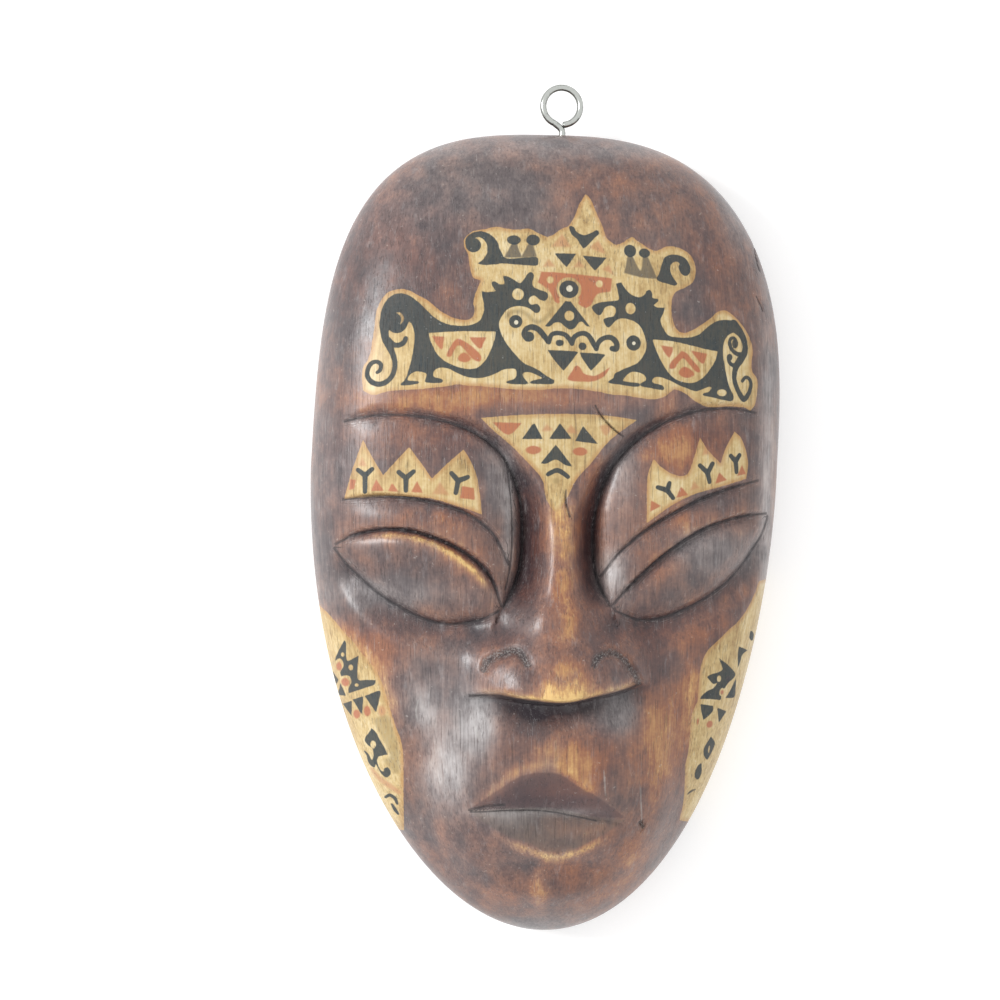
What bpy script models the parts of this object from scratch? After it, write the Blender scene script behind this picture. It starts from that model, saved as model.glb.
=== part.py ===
"""A carved wooden wall mask with closed eyes and a steel screw eye in its top edge.

It lies face up on its back rim. Lengths are in metres. X runs across the face, Y from the chin to the
crown, and Z from the back rim to the nose. The origin is under the middle of wood and ring together.
"""

import math
from collections import namedtuple

import bmesh
import bpy
import numpy as np
from mathutils import Matrix

# Block: the outline's length and width, the straight side wall and the dome above it.
MASK_LENGTH = 0.250
MASK_WIDTH = 0.1474
WALL_HEIGHT = 0.010
DOME_RISE = 0.032
BACK_TUCK = 0.0014

# Outline, as shares of half the length: where it is widest, how far its middle line lies to the right of
# the face's own middle, and how far that line sways sideways.
WIDEST_SHARE = 0.166
MIDDLE_SHIFT = 0.0076
CROWN_SWAY = 0.0146
CHIN_SWAY = 0.0114
CROWN_ROUNDNESS = (2.86, 2.93)
CHIN_ROUNDNESS = (2.0, 1.9)
DOME_ROUNDNESS = (2.6, 2.2)

# Side wall: how far down its loops lie, as shares of its height. The last one is below the back rim.
WALL_FALLS = (0.35, 0.7, 1.0, 1.35)

# Back: the flat rim that the mask rests on, and the hollow inside it.
RIM_WIDTH = 0.0145
HOLLOW_DEPTH = 0.022
HOLLOW_ROUNDNESS = 2.4

# Carving: heights and depths of the features, out from the dome or into it.
NOSE_HEIGHT = 0.0115
NOSTRIL_HEIGHT = 0.0035
NOSE_UNDERCUT = 0.0034
MUZZLE_HEIGHT = 0.0082
BROW_DEPTH = 0.0090
UNDER_EYE_DEPTH = 0.0040
LID_DEPTH = 0.0024
LID_CREST = 0.0010
CREASE_DEPTH = 0.0017
NOSTRIL_DEPTH = 0.0013
LIP_DEPTH = 0.0046

# Shape of the carving: share of the block's width that the face spans, share of the way out over which the
# carving fades, and how soft its rises are.
FACE_SHARE = 0.979
CARVING_FADE = 0.12
SWELL_FALLOFF = (1.2, 3.0)
RIDGE_FALLOFF = (1.1, 2.3)
LIP_BULGE = 0.9

# Screw eye: wire, ring, the neck that shows above the wood with its bend in degrees, and the shank.
WIRE_DIAMETER = 0.0020
RING_MEAN_RADIUS = 0.00585
NECK_LENGTH = 0.0032
NECK_BEND = 24
SHANK_DEPTH = 0.013
EYE_OFFSET = 0.0058
EYE_HEIGHT = 0.012
FIT_GAP = 0.0003

# Mesh: rings from the middle to the outline, the share of faces that the finished solid keeps, and
# how finely curves are stepped and outlines are measured.
FACE_RINGS = 112
KEPT_FACES = 0.068
HOLLOW_RINGS = 14
WIRE_SIDES = 12
RING_POINTS = 33
CURVE_STEPS = 9
OUTLINE_SAMPLES = 2001
HALVINGS = 40

HALF_WIDTH = MASK_WIDTH / 2
HALF_LENGTH = MASK_LENGTH / 2
HALF_FACE = HALF_WIDTH * FACE_SHARE
WIRE_RADIUS = WIRE_DIAMETER / 2

# A groove runs through its spots, in hundredths of half the face's width and of the half length from the
# face's middle. Its depths are hundredths of the named depth at equal steps along it. Left and right are
# seen along its way: how wide each side's slope is, in the same hundredths, and how convex, from 0 to 1.
Groove = namedtuple("Groove", "spots depth depths left right convex_left convex_right")

BROWS = (
    Groove(
        ((-89, 27), (-73, 28.6), (-54, 28), (-36, 25), (-22, 19), (-14.5, 9), (-13, -2),
         (-15.5, -11), (-23, -19)),
        BROW_DEPTH, (0, 14, 24, 36, 52, 76, 94, 96, 30), (3, 4, 6, 12, 15), (12, 22, 24, 22, 14),
        0.2, 1.0,
    ),
    Groove(
        ((90, 29.5), (74, 30.6), (56, 29), (38, 24), (25, 16.5), (18.5, 7), (16.8, -2),
         (18.5, -11), (24, -18.5)),
        BROW_DEPTH, (0, 14, 24, 36, 52, 76, 94, 96, 30), (12, 22, 24, 22, 14), (3, 4, 6, 12, 15),
        1.0, 0.2,
    ),
)
LOWER_LIDS = (
    Groove(
        ((-92, -2.9), (-84, -8.6), (-69, -16), (-50, -21.2), (-34, -21), (-22, -18)),
        UNDER_EYE_DEPTH, (0, 80, 100, 100, 90, 20), (6, 10, 11, 10, 6), (8, 13, 15, 14, 8), 1.0, 0.1,
    ),
    Groove(
        ((96, 4.9), (91, -2), (76, -12), (56, -18.6), (38, -21), (23, -18)),
        UNDER_EYE_DEPTH, (0, 80, 100, 100, 90, 20), (8, 13, 15, 14, 8), (6, 10, 11, 10, 6), 0.1, 1.0,
    ),
)
FOLDS = (
    Groove(
        ((-89, 8.2), (-73, 9.1), (-56, 8.2), (-38, 5.2), (-26, 0), (-18.6, -8)),
        CREASE_DEPTH, (0, 90, 100, 100, 80, 0), (1.4,), (9,), 0.0, 0.5,
    ),
    Groove(
        ((91, 13.2), (76, 11), (60, 7.7), (40, 1.5), (27, -4.8), (19, -11)),
        CREASE_DEPTH, (0, 90, 100, 100, 80, 0), (9,), (1.4,), 0.5, 0.0,
    ),
    Groove(
        ((-92, -2.9), (-80, 0.2), (-62, 0.9), (-42, -3), (-28, -9.4), (-22, -18)),
        LID_DEPTH, (0, 85, 100, 100, 90, 0), (1.4,), (6,), 0.0, 1.0,
    ),
    Groove(
        ((96, 4.9), (81, 4), (64, 1), (46, -5.4), (31, -13), (23, -18)),
        LID_DEPTH, (0, 85, 100, 100, 90, 0), (7,), (1.4,), 0.3, 0.0,
    ),
    Groove(
        ((-76, -1.6), (-60, -2), (-44, -5.4), (-31, -11.4), (-25, -17)),
        LID_CREST, (0, -90, -100, -80, 0), (3.5,), (11,), 0.0, 0.0,
    ),
    Groove(
        ((-34, -36.5), (-29.5, -30), (-22, -27.5), (-15, -29), (-11, -33)),
        NOSTRIL_DEPTH, (0, 90, 100, 90, 0), (4,), (1.8,), 0.0, 0.0,
    ),
    Groove(
        ((12.5, -32.5), (18, -28.4), (25, -27.6), (31, -31.5), (36, -37.5)),
        NOSTRIL_DEPTH, (0, 90, 100, 90, 0), (4,), (1.8,), 0.0, 0.0,
    ),
)

# Outlines of the nose's cut-off base and of the lips, in the same hundredths.
NOSE_BASE = (
    (-56, -40), (-37, -38.6), (-25, -38.2), (-12, -39.4), (2, -39.9), (16, -38.6), (27, -37.4),
    (37, -36), (56, -36),
)
NOSE_BASE_UNDERCUTS = (0, 0, 70, 100, 100, 100, 70, 0, 0)
LIP_TOP = ((-35, -66.4), (-24, -62.2), (-12, -57.8), (-1, -56.4), (9, -58.4), (22, -64), (37, -71.2))
LIP_BOTTOM = ((-35, -67), (-22, -72.4), (-8, -75.8), (2, -76.8), (14, -75), (24, -72.8), (37, -71.6))
MOUTH = ((-36, -66.7), (-18, -66), (-2, -66.6), (18, -69), (38, -71.4))

# Swells: centre and radii in the same hundredths, and height as a share of the named one.
Swell = namedtuple("Swell", "centre radii height")
SWELLS = (
    Swell((1.5, -60), (53, 31), MUZZLE_HEIGHT),
    Swell((1.5, -67), (38, 12), MUZZLE_HEIGHT * 0.22),
    Swell((0, -92), (30, 11), MUZZLE_HEIGHT * 0.20),
    Swell((0, -82), (28, 5), MUZZLE_HEIGHT * -0.22),
    Swell((-4, -89), (4, 10), MUZZLE_HEIGHT * 0.08),
    Swell((-56, -62), (9, 20), MUZZLE_HEIGHT * -0.16),
    Swell((57, -60), (9, 20), MUZZLE_HEIGHT * -0.14),
)

# Nose, from the bridge down to its base: heights as shares of the tip's, and half widths.
NOSE_MIDDLE = 1
NOSE_TOP = 14
NOSE_BOTTOM = -39
NOSE_HEIGHTS = (0.0, 0.14, 0.30, 0.46, 0.70, 0.94, 1.0)
NOSE_HALF_WIDTHS = (11, 11, 12, 15, 19, 24, 26)
NOSTRIL_CENTRES = ((-24, -34.5), (25, -33.5))
NOSTRIL_RADII = (12.5, 7.5)
BASE_CUT_WIDTH = 0.0065


def smooth_step(share):
    """Ease from 0 to 1 as the share does."""
    share = np.clip(share, 0, 1)
    return share * share * (3 - 2 * share)


def eased(values, share):
    """Values at equal steps from 0 to 1, read at each share with an ease between them."""
    place = np.clip(share, 0, 1) * (len(values) - 1)
    step = np.minimum(place.astype(int), max(len(values) - 2, 0))
    values = np.array(values, float)
    following = values[np.minimum(step + 1, len(values) - 1)]
    return values[step] + (following - values[step]) * smooth_step(place - step)


def spot_place(spot):
    """Metres from the face's middle of a spot in hundredths of half the face's width and the half length."""
    return np.array((spot[0] * HALF_FACE, spot[1] * HALF_LENGTH)) / 100


def curve_through(spots):
    """A smooth path through the spots."""
    known = [spot_place(spot) for spot in spots]
    known = [2 * known[0] - known[1]] + known + [2 * known[-1] - known[-2]]
    path = []
    for before, start, end, after in zip(known, known[1:], known[2:], known[3:]):
        for step in range(CURVE_STEPS):
            t = step / CURVE_STEPS
            bend = 2 * before - 5 * start + 4 * end - after
            turn = 3 * start - before - 3 * end + after
            path.append(start + ((end - before) * t + bend * t**2 + turn * t**3) / 2)
    path.append(known[-2])
    return np.array(path)


def nearest_on(path, places):
    """Distance from the path, share of its length at the nearest point, and +1 on its left or -1."""
    runs = np.diff(path, axis=0)
    lengths = np.hypot(runs[:, 0], runs[:, 1])
    starts = np.cumsum(lengths) - lengths
    distance = np.full(len(places), np.inf)
    along = np.zeros(len(places))
    side = np.ones(len(places))
    for corner, run, length, start in zip(path, runs, lengths, starts):
        offset = places - corner
        share = np.clip(offset @ run / length**2, 0, 1)
        reach = np.hypot(*(offset - share[:, None] * run).T)
        nearer = reach < distance
        distance[nearer] = reach[nearer]
        along[nearer] = (start + share * length)[nearer]
        side[nearer] = np.sign(run[0] * offset[:, 1] - run[1] * offset[:, 0])[nearer]
    return distance, along / lengths.sum(), side


def sway_at(y):
    """How far the outline's middle line lies to the side at each height."""
    rise = y - WIDEST_SHARE * HALF_LENGTH
    upper = rise >= 0
    reach = HALF_LENGTH - np.where(upper, 1, -1) * WIDEST_SHARE * HALF_LENGTH
    sway = np.where(upper, CROWN_SWAY, CHIN_SWAY) * np.sin(math.pi * np.clip(rise / reach, -1, 1))
    return (MIDDLE_SHIFT + sway) * HALF_LENGTH


def upright_gauge(x, rise):
    """Share of the way from the widest line's middle to the outline, leaving out the sway."""
    upper = rise >= 0
    reach = HALF_LENGTH - np.where(upper, 1, -1) * WIDEST_SHARE * HALF_LENGTH
    across = np.abs(x) / HALF_WIDTH
    rise = np.abs(rise) / reach
    across_power = np.where(upper, CROWN_ROUNDNESS[0], CHIN_ROUNDNESS[0])
    rise_power = np.where(upper, CROWN_ROUNDNESS[1], CHIN_ROUNDNESS[1])
    low = np.full(np.shape(x), 1e-9)
    high = np.full(np.shape(x), 3.0)
    for _ in range(HALVINGS):
        middle = (low + high) / 2
        outside = (across / middle) ** across_power + (rise / middle) ** rise_power > 1
        low = np.where(outside, middle, low)
        high = np.where(outside, high, middle)
    return (low + high) / 2


def outline_gauge(x, y):
    """How far out each place lies, as a share of the way from the widest line's middle to the outline."""
    return upright_gauge(x - sway_at(y), y - WIDEST_SHARE * HALF_LENGTH)


def dome_height(gauge):
    """Height of the uncarved block above the back rim."""
    falling = np.clip(1 - np.clip(gauge, 0, 1) ** DOME_ROUNDNESS[0], 0, 1)
    return WALL_HEIGHT + DOME_RISE * falling ** (1 / DOME_ROUNDNESS[1])


def groove_height(groove, places):
    """How far a groove lowers each place: most on its line, with a slope on each side."""
    distance, along, side = nearest_on(curve_through(groove.spots), places)
    on_left = side > 0
    left = eased(groove.left, along)
    right = eased(groove.right, along)
    width = np.where(on_left, left, right) * HALF_FACE / 100
    convex = np.where(on_left, groove.convex_left, groove.convex_right)
    share = np.clip(distance / width, 0, 1)
    round_rise = np.sqrt(1 - (1 - share) ** 2)
    rise = convex * round_rise + (1 - convex) * smooth_step(share)
    return groove.depth * eased(groove.depths, along) / 100 * (rise - 1)


def swell_height(swell, places):
    """A soft rise over an ellipse."""
    away = (places - spot_place(swell.centre)) / spot_place(swell.radii)
    steepness, power = SWELL_FALLOFF
    return swell.height * np.exp(-steepness * np.hypot(*away.T) ** power)


def nose_height(places):
    """The nose: a ridge that widens and rises down to its cut-off base, with a nostril on each side."""
    x, y = places.T / spot_place((1, 1))[:, None]
    down = (NOSE_TOP - y) / (NOSE_TOP - NOSE_BOTTOM)
    ridge = eased(NOSE_HEIGHTS, down) * NOSE_HEIGHT
    share = np.abs(x - NOSE_MIDDLE) / eased(NOSE_HALF_WIDTHS, down)
    steepness, power = RIDGE_FALLOFF
    height = ridge * np.exp(-steepness * share**power)
    for centre in NOSTRIL_CENTRES:
        height = height + swell_height(Swell(centre, NOSTRIL_RADII, NOSTRIL_HEIGHT), places)
    distance, along, side = nearest_on(curve_through(NOSE_BASE), places)
    kept = smooth_step(0.5 + side * distance / BASE_CUT_WIDTH)
    undercut = NOSE_UNDERCUT * eased(NOSE_BASE_UNDERCUTS, along) / 100
    below = undercut * smooth_step(1 - distance / (4 * NOSE_UNDERCUT)) * (1 - kept)
    return height * kept - below


def lip_height(places):
    """Both lips slope in from their outlines to the line of the mouth."""
    to_mouth = nearest_on(curve_through(MOUTH), places)
    to_top = nearest_on(curve_through(LIP_TOP), places)
    to_bottom = nearest_on(curve_through(LIP_BOTTOM), places)
    inside = (to_top[2] < 0) & (to_bottom[2] > 0)
    to_edge = np.where(to_mouth[2] > 0, to_top[0], to_bottom[0])
    span = to_mouth[0] + to_edge
    fall = smooth_step(span / (3 * LIP_DEPTH)) * (to_edge / np.maximum(span, 1e-9)) ** LIP_BULGE
    return np.where(inside, -LIP_DEPTH * fall, 0)


def carving_height(places):
    """Everything carved out of the dome or left standing on it."""
    height = np.min([groove_height(groove, places) for groove in BROWS + LOWER_LIDS], axis=0)
    for fold in FOLDS:
        height = height + groove_height(fold, places)
    for swell in SWELLS:
        height = height + swell_height(swell, places)
    return height + nose_height(places) + lip_height(places)


def face_height(places):
    """Height of the finished face above the back rim. The carving fades out towards the outline."""
    gauge = outline_gauge(*places.T)
    return dome_height(gauge) + carving_height(places) * smooth_step((1 - gauge) / CARVING_FADE)


def ring_layout(rings):
    """Unit directions and ring numbers of a square grid laid out in rings, and its faces."""
    index = {}
    numbers = []
    turns = []
    for row in range(-rings, rings + 1):
        for column in range(-rings, rings + 1):
            ring = max(abs(row), abs(column))
            index[column, row] = len(numbers)
            numbers.append(ring)
            turns.append(square_turn(column, row, ring))
    faces = []
    for row in range(-rings, rings):
        for column in range(-rings, rings):
            right, up = column + 1, row + 1
            corners = ((column, row), (right, row), (right, up), (column, up))
            faces.append([index[corner] for corner in corners])
    directions = np.column_stack((np.cos(turns), np.sin(turns)))
    return directions, np.array(numbers), faces


def square_turn(column, row, ring):
    """The angle at which a grid point lies on its ring."""
    if ring == 0:
        return 0.0
    if abs(column) >= abs(row):
        return math.pi / 4 * row / column + (math.pi if column < 0 else 0)
    return math.pi / 2 - math.pi / 4 * column / row + (math.pi if row < 0 else 0)


def outline_places(directions, gauges):
    """Places in these directions from the widest line's middle, at these shares of the way out."""
    steps = directions * (HALF_WIDTH, HALF_LENGTH)
    x, rise = (steps * (gauges / upright_gauge(*steps.T))[:, None]).T
    y = rise + WIDEST_SHARE * HALF_LENGTH
    return np.column_stack((x + sway_at(y), y))


def wood_top():
    """Y of the mask's top edge where the screw eye goes in."""
    heights = np.linspace(HALF_LENGTH * 0.8, HALF_LENGTH, OUTLINE_SAMPLES)
    gauge = outline_gauge(np.full_like(heights, EYE_OFFSET), heights)
    return float(np.interp(1, gauge, heights))


def wood_centre():
    """Where the wood's middle lies, so that the origin is under the middle of wood and ring together."""
    turns = np.linspace(0, 2 * math.pi, OUTLINE_SAMPLES)
    directions = np.column_stack((np.cos(turns), np.sin(turns)))
    x = outline_places(directions, np.ones(OUTLINE_SAMPLES))[:, 0]
    reach = wood_top() - HALF_LENGTH + NECK_LENGTH + 2 * RING_MEAN_RADIUS + WIRE_RADIUS
    return (-(x.min() + x.max()) / 2, -reach / 2, 0)


def even_gauges(rings):
    """Gauges of the rings, closer together where the dome is steep."""
    gauge = np.linspace(0, 1, OUTLINE_SAMPLES)
    step_out = np.diff(gauge) * (HALF_WIDTH + HALF_LENGTH) / 2
    step_down = np.diff(dome_height(gauge))
    travelled = np.concatenate(([0], np.cumsum(np.hypot(step_out, step_down))))
    return np.interp(np.linspace(0, travelled[-1], rings + 1), travelled, gauge)


def outer_loop(rings, numbers, directions):
    """Indices of the last ring, anticlockwise."""
    last = np.flatnonzero(numbers == rings)
    turns = np.arctan2(directions[last, 1], directions[last, 0])
    return [int(i) for i in last[np.argsort(turns)]]


def new_object(name, mesh, material=None):
    """An object with this mesh in the scene."""
    obj = bpy.data.objects.new(name, mesh)
    bpy.context.scene.collection.objects.link(obj)
    if material:
        mesh.materials.append(material)
    return obj


def new_material(name, colour, roughness, metallic):
    """A plain Principled BSDF material."""
    material = bpy.data.materials.new(name)
    material.use_nodes = True
    shader = material.node_tree.nodes["Principled BSDF"]
    shader.inputs["Base Color"].default_value = (*colour, 1)
    shader.inputs["Roughness"].default_value = roughness
    shader.inputs["Metallic"].default_value = metallic
    return material


def as_cutter(obj):
    """Leave an object out of the render and show it as wire."""
    obj.hide_render = True
    obj.display_type = "WIRE"
    return obj


def cut(obj, cutter):
    """Take the cutter's shape out of the object."""
    modifier = obj.modifiers.new(cutter.name, "BOOLEAN")
    modifier.operation = "DIFFERENCE"
    modifier.object = cutter


def block_mesh():
    """The carved face closed by a side wall that tucks in a little and runs on below the back rim."""
    directions, numbers, faces = ring_layout(FACE_RINGS)
    places = outline_places(directions, even_gauges(FACE_RINGS)[numbers])
    heights = face_height(places)
    points = [(x, y, z) for (x, y), z in zip(places, heights)]
    loop = outer_loop(FACE_RINGS, numbers, directions)
    edge = places[loop]
    for fall in WALL_FALLS:
        below = len(points)
        shrink = 1 - BACK_TUCK * fall**2 / np.hypot(*edge.T)
        for x, y in edge * shrink[:, None]:
            points.append((x, y, WALL_HEIGHT * (1 - fall)))
        following = list(range(below, len(points)))
        for i, start in enumerate(loop):
            end = (i + 1) % len(loop)
            faces.append([start, following[i], following[end], loop[end]])
        loop = following
    faces.append(loop[::-1])
    mesh = bpy.data.meshes.new("carved_mask")
    mesh.from_pydata(points, [], faces)
    mesh.update()
    return mesh


def hollow_mesh():
    """The hollow of the back: a dome inside the rim, closed below the back."""
    directions, numbers, faces = ring_layout(HOLLOW_RINGS)
    inner = 1 - RIM_WIDTH / HALF_WIDTH
    shares = np.sin(np.linspace(0, math.pi / 2, HOLLOW_RINGS + 1))[numbers]
    places = outline_places(directions, shares * inner)
    heights = HOLLOW_DEPTH * np.sqrt(np.clip(1 - shares**HOLLOW_ROUNDNESS, 0, 1))
    points = [(x, y, z) for (x, y), z in zip(places, heights)]
    loop = outer_loop(HOLLOW_RINGS, numbers, directions)
    below = len(points)
    points += [(*places[i], -WALL_HEIGHT) for i in loop]
    for i, start in enumerate(loop):
        end = (i + 1) % len(loop)
        faces.append([start, below + i, below + end, loop[end]])
    faces.append(list(range(below, len(points)))[::-1])
    mesh = bpy.data.meshes.new("back_hollow")
    mesh.from_pydata(points, [], faces)
    mesh.update()
    return mesh


def back_cutter():
    """A box whose top is the plane of the back rim."""
    mesh = bpy.data.meshes.new("back_plane")
    shape = bmesh.new()
    bmesh.ops.create_cube(shape, size=1)
    size = (2 * MASK_WIDTH, 2 * MASK_LENGTH, WALL_HEIGHT)
    bmesh.ops.scale(shape, vec=size, verts=shape.verts)
    bmesh.ops.translate(shape, vec=(0, 0, -WALL_HEIGHT / 2), verts=shape.verts)
    shape.to_mesh(mesh)
    shape.free()
    return mesh


def pilot_cutter():
    """The hole that the shank goes into, a gap wider and deeper than the shank."""
    mesh = bpy.data.meshes.new("pilot_hole")
    shape = bmesh.new()
    length = SHANK_DEPTH + FIT_GAP + WALL_HEIGHT
    radius = WIRE_RADIUS + FIT_GAP
    bmesh.ops.create_cone(
        shape, cap_ends=True, segments=WIRE_SIDES * 2, radius1=radius, radius2=radius, depth=length
    )
    lying = Matrix.Rotation(-math.pi / 2, 3, "X")
    bmesh.ops.rotate(shape, cent=(0, 0, 0), matrix=lying, verts=shape.verts)
    bottom = wood_top() - SHANK_DEPTH - FIT_GAP
    middle = (EYE_OFFSET, bottom + length / 2, EYE_HEIGHT)
    bmesh.ops.translate(shape, vec=middle, verts=shape.verts)
    shape.to_mesh(mesh)
    shape.free()
    return mesh


def carved_mask(material):
    """The wooden mask: carved face, flat back rim, hollow back and pilot hole."""
    mask = new_object("carved_mask", block_mesh(), material)
    mask.location = wood_centre()
    thin = mask.modifiers.new("fewer faces", "DECIMATE")
    thin.ratio = KEPT_FACES
    for shape in (back_cutter(), hollow_mesh(), pilot_cutter()):
        cutter = as_cutter(new_object(shape.name, shape))
        cutter.location = wood_centre()
        cut(mask, cutter)
    mask.data.shade_smooth()
    return mask


def screw_eye_path():
    """The wire's middle line from the shank's tip up to the neck, round the ring and back to the neck."""
    top = wood_top()
    centre_y = top + NECK_LENGTH + RING_MEAN_RADIUS
    closing = 2 * math.asin((WIRE_DIAMETER + FIT_GAP) / 2 / RING_MEAN_RADIUS)
    points = [(0, top - SHANK_DEPTH), (0, top - SHANK_DEPTH / 2), (0, top), (0, top + NECK_LENGTH / 2)]
    leaving = -math.pi / 2 - math.radians(NECK_BEND)
    for turn in np.linspace(leaving, -5 * math.pi / 2 + closing, RING_POINTS):
        x = RING_MEAN_RADIUS * math.cos(turn)
        points.append((x, centre_y + RING_MEAN_RADIUS * math.sin(turn)))
    return [(EYE_OFFSET + x, y, EYE_HEIGHT) for x, y in points]


def hanging_screw_eye(material):
    """The steel wire, as a round tube with closed ends."""
    wire = bpy.data.curves.new("hanging_screw_eye", "CURVE")
    wire.dimensions = "3D"
    wire.bevel_depth = WIRE_RADIUS
    wire.bevel_resolution = WIRE_SIDES // 4 - 1
    wire.use_fill_caps = True
    points = screw_eye_path()
    spline = wire.splines.new("POLY")
    spline.points.add(len(points) - 1)
    for knot, point in zip(spline.points, points):
        knot.co = (*point, 1)
    eye = new_object("hanging_screw_eye", wire, material)
    eye.location = wood_centre()
    return eye


def main():
    """Clear the scene and build both pieces."""
    for obj in list(bpy.data.objects):
        bpy.data.objects.remove(obj, do_unlink=True)
    stained_wood = new_material("stained_wood", (0.17, 0.07, 0.035), 0.42, 0.0)
    steel = new_material("bright_steel", (0.62, 0.62, 0.60), 0.22, 1.0)
    carved_mask(stained_wood)
    hanging_screw_eye(steel)


main()
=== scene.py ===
"""Looks of a carved wooden wall mask: stained wood with painted ornament, and a bright steel screw eye.

Lengths are in metres. X runs across the face, Y from the chin to the crown, and Z from the back rim to the
nose. The ornament is drawn in pixels of the photograph and laid on the carved face from the camera.
"""

import math
from collections import namedtuple

import bmesh
import bpy
import numpy as np
from mathutils import Matrix, Vector, noise


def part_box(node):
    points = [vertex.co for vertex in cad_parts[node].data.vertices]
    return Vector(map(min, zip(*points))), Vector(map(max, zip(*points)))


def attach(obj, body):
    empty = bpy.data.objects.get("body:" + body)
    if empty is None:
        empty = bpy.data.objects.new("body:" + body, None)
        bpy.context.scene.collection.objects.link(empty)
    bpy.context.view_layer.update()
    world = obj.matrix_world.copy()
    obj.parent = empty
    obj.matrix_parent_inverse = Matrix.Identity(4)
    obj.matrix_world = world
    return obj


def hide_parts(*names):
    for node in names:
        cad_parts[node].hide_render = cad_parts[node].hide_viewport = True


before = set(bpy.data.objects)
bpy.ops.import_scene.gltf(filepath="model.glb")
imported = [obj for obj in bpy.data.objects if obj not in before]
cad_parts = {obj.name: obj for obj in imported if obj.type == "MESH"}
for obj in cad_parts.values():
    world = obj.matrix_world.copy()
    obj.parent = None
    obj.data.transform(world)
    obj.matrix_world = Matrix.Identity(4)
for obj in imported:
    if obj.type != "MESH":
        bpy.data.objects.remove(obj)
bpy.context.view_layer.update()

# Block: the outline's length and width, the straight side wall and the dome above it.
MASK_LENGTH = 0.250
MASK_WIDTH = 0.1474
WALL_HEIGHT = 0.010
DOME_RISE = 0.032
BACK_TUCK = 0.0014

# Outline, as shares of half the length: where it is widest, how far its middle line lies to the right of
# the face's own middle, and how far that line sways sideways.
WIDEST_SHARE = 0.166
MIDDLE_SHIFT = 0.0076
CROWN_SWAY = 0.0146
CHIN_SWAY = 0.0114
CROWN_ROUNDNESS = (2.86, 2.93)
CHIN_ROUNDNESS = (2.0, 1.9)
DOME_ROUNDNESS = (2.6, 2.2)

# Back: the flat rim that the mask rests on, its rounded edges with their steps in degrees, and the hollow.
RIM_WIDTH = 0.0145
RIM_ROUNDING = 0.0008
RIM_TURNS = (30, 60, 90)
HOLLOW_DEPTH = 0.022
HOLLOW_ROUNDNESS = 2.4

# Gouge marks in the hollow: their size, how steeply they begin at its edge, the share of wood left at their
# sides and not at their ends, how rows are set off from each other and slant, and how far rows and strokes
# wander, with waves a metre and a layer of the noise.
GOUGE_WIDTH = 0.0075
GOUGE_LENGTH = 0.021
GOUGE_DEPTH = 0.00045
GOUGE_START = 3
GOUGE_SIDE_SHARE = 0.75
ROW_STAGGER = 0.37
ROW_WANDER = (0.7, 45, 3.1)
ROW_SLANT = 0.6
STROKE_WANDER = (0.2, 60, 9)

# Side wall: how far down its loops lie, as shares of its height.
WALL_FALLS = (0.18, 0.36, 0.54, 0.72, 0.92)

# Carving: heights and depths of the features, out from the dome or into it.
NOSE_HEIGHT = 0.0111
NOSTRIL_HEIGHT = 0.0035
NOSE_UNDERCUT = 0.0034
MUZZLE_HEIGHT = 0.0082
BROW_DEPTH = 0.0090
UNDER_EYE_DEPTH = 0.0040
LID_DEPTH = 0.0026
LID_CREST = 0.0010
CREASE_DEPTH = 0.0019
LIP_DEPTH = 0.0046

# Shape of the carving: share of the block's width that the face spans, share of the way out over which the
# carving fades, how soft its rises are, how many times their depth the lips' slope and the nose's undercut
# reach, and how many times wider than its rounding a groove stays.
FACE_SHARE = 0.979
CARVING_FADE = 0.12
SWELL_FALLOFF = (1.2, 3.0)
RIDGE_FALLOFF = (1.1, 2.3)
LIP_BULGE = 0.9
LIP_REACH = 3
UNDERCUT_REACH = 4
WIDER_THAN_ROUNDING = 5

# Hand work: slow waves left by the scraper, each with its length and height, chisel ripples along the deep
# grooves, which drift and differ from side to side, and how round the grooves' bottoms are.
WAVES = ((0.014, 0.00016), (0.0055, 0.00007), (0.0022, 0.000025))
WAVE_LAYER = 7.3
RIPPLE_PITCH = 0.0027
RIPPLE_HEIGHT = 0.00005
RIPPLE_REACH = 0.0042
RIPPLE_DRIFT = (2.2, 31)
RIPPLE_SIDE_SHIFT = 1.3
GOUGE_ROUNDING = 0.0006

# Screw eye: wire with its narrowed tips, ring, the neck that shows above the wood with its bend in degrees,
# the shank, and how many degrees short of the bottom the ring ends.
WIRE_DIAMETER = 0.0020
TIP_ROUNDING = 0.0003
TIP_NARROWING = 0.35
RING_MEAN_RADIUS = 0.00585
NECK_LENGTH = 0.0032
NECK_BEND = 24
SHANK_DEPTH = 0.013
EYE_OFFSET = 0.0058
EYE_HEIGHT = 0.012
RING_SHORTFALL = 3

# Mesh: cells of the face's grid before it is refined, how near an edge of paint, a sharp line or a steep
# wall each refining reaches, cells of the hollow's grid, how finely curves are stepped, and where the
# outline is searched.
FACE_GRID = (98, 166)
REFINED_NEAR_PAINT = (0.0015, 0.0005)
REFINED_NEAR_LINES = 0.0016
REFINED_NEAR_WALLS = 0.0011
HOLLOW_GRID = (64, 112)
WIRE_SIDES = 24
RING_POINTS = 72
NECK_POINTS = 6
WIRE_STEPS = 3
CURVE_STEPS = 12
PAINT_STEPS = 4
OUTLINE_SAMPLES = 2001
HALVINGS = 40
TINY = 1e-9
GAUGE_LIMITS = (TINY, 3.0)
TOP_SEARCH_SHARE = 0.8
SHARP_ANGLE = 50
INSIDE_SHARE = 0.9998

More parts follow.
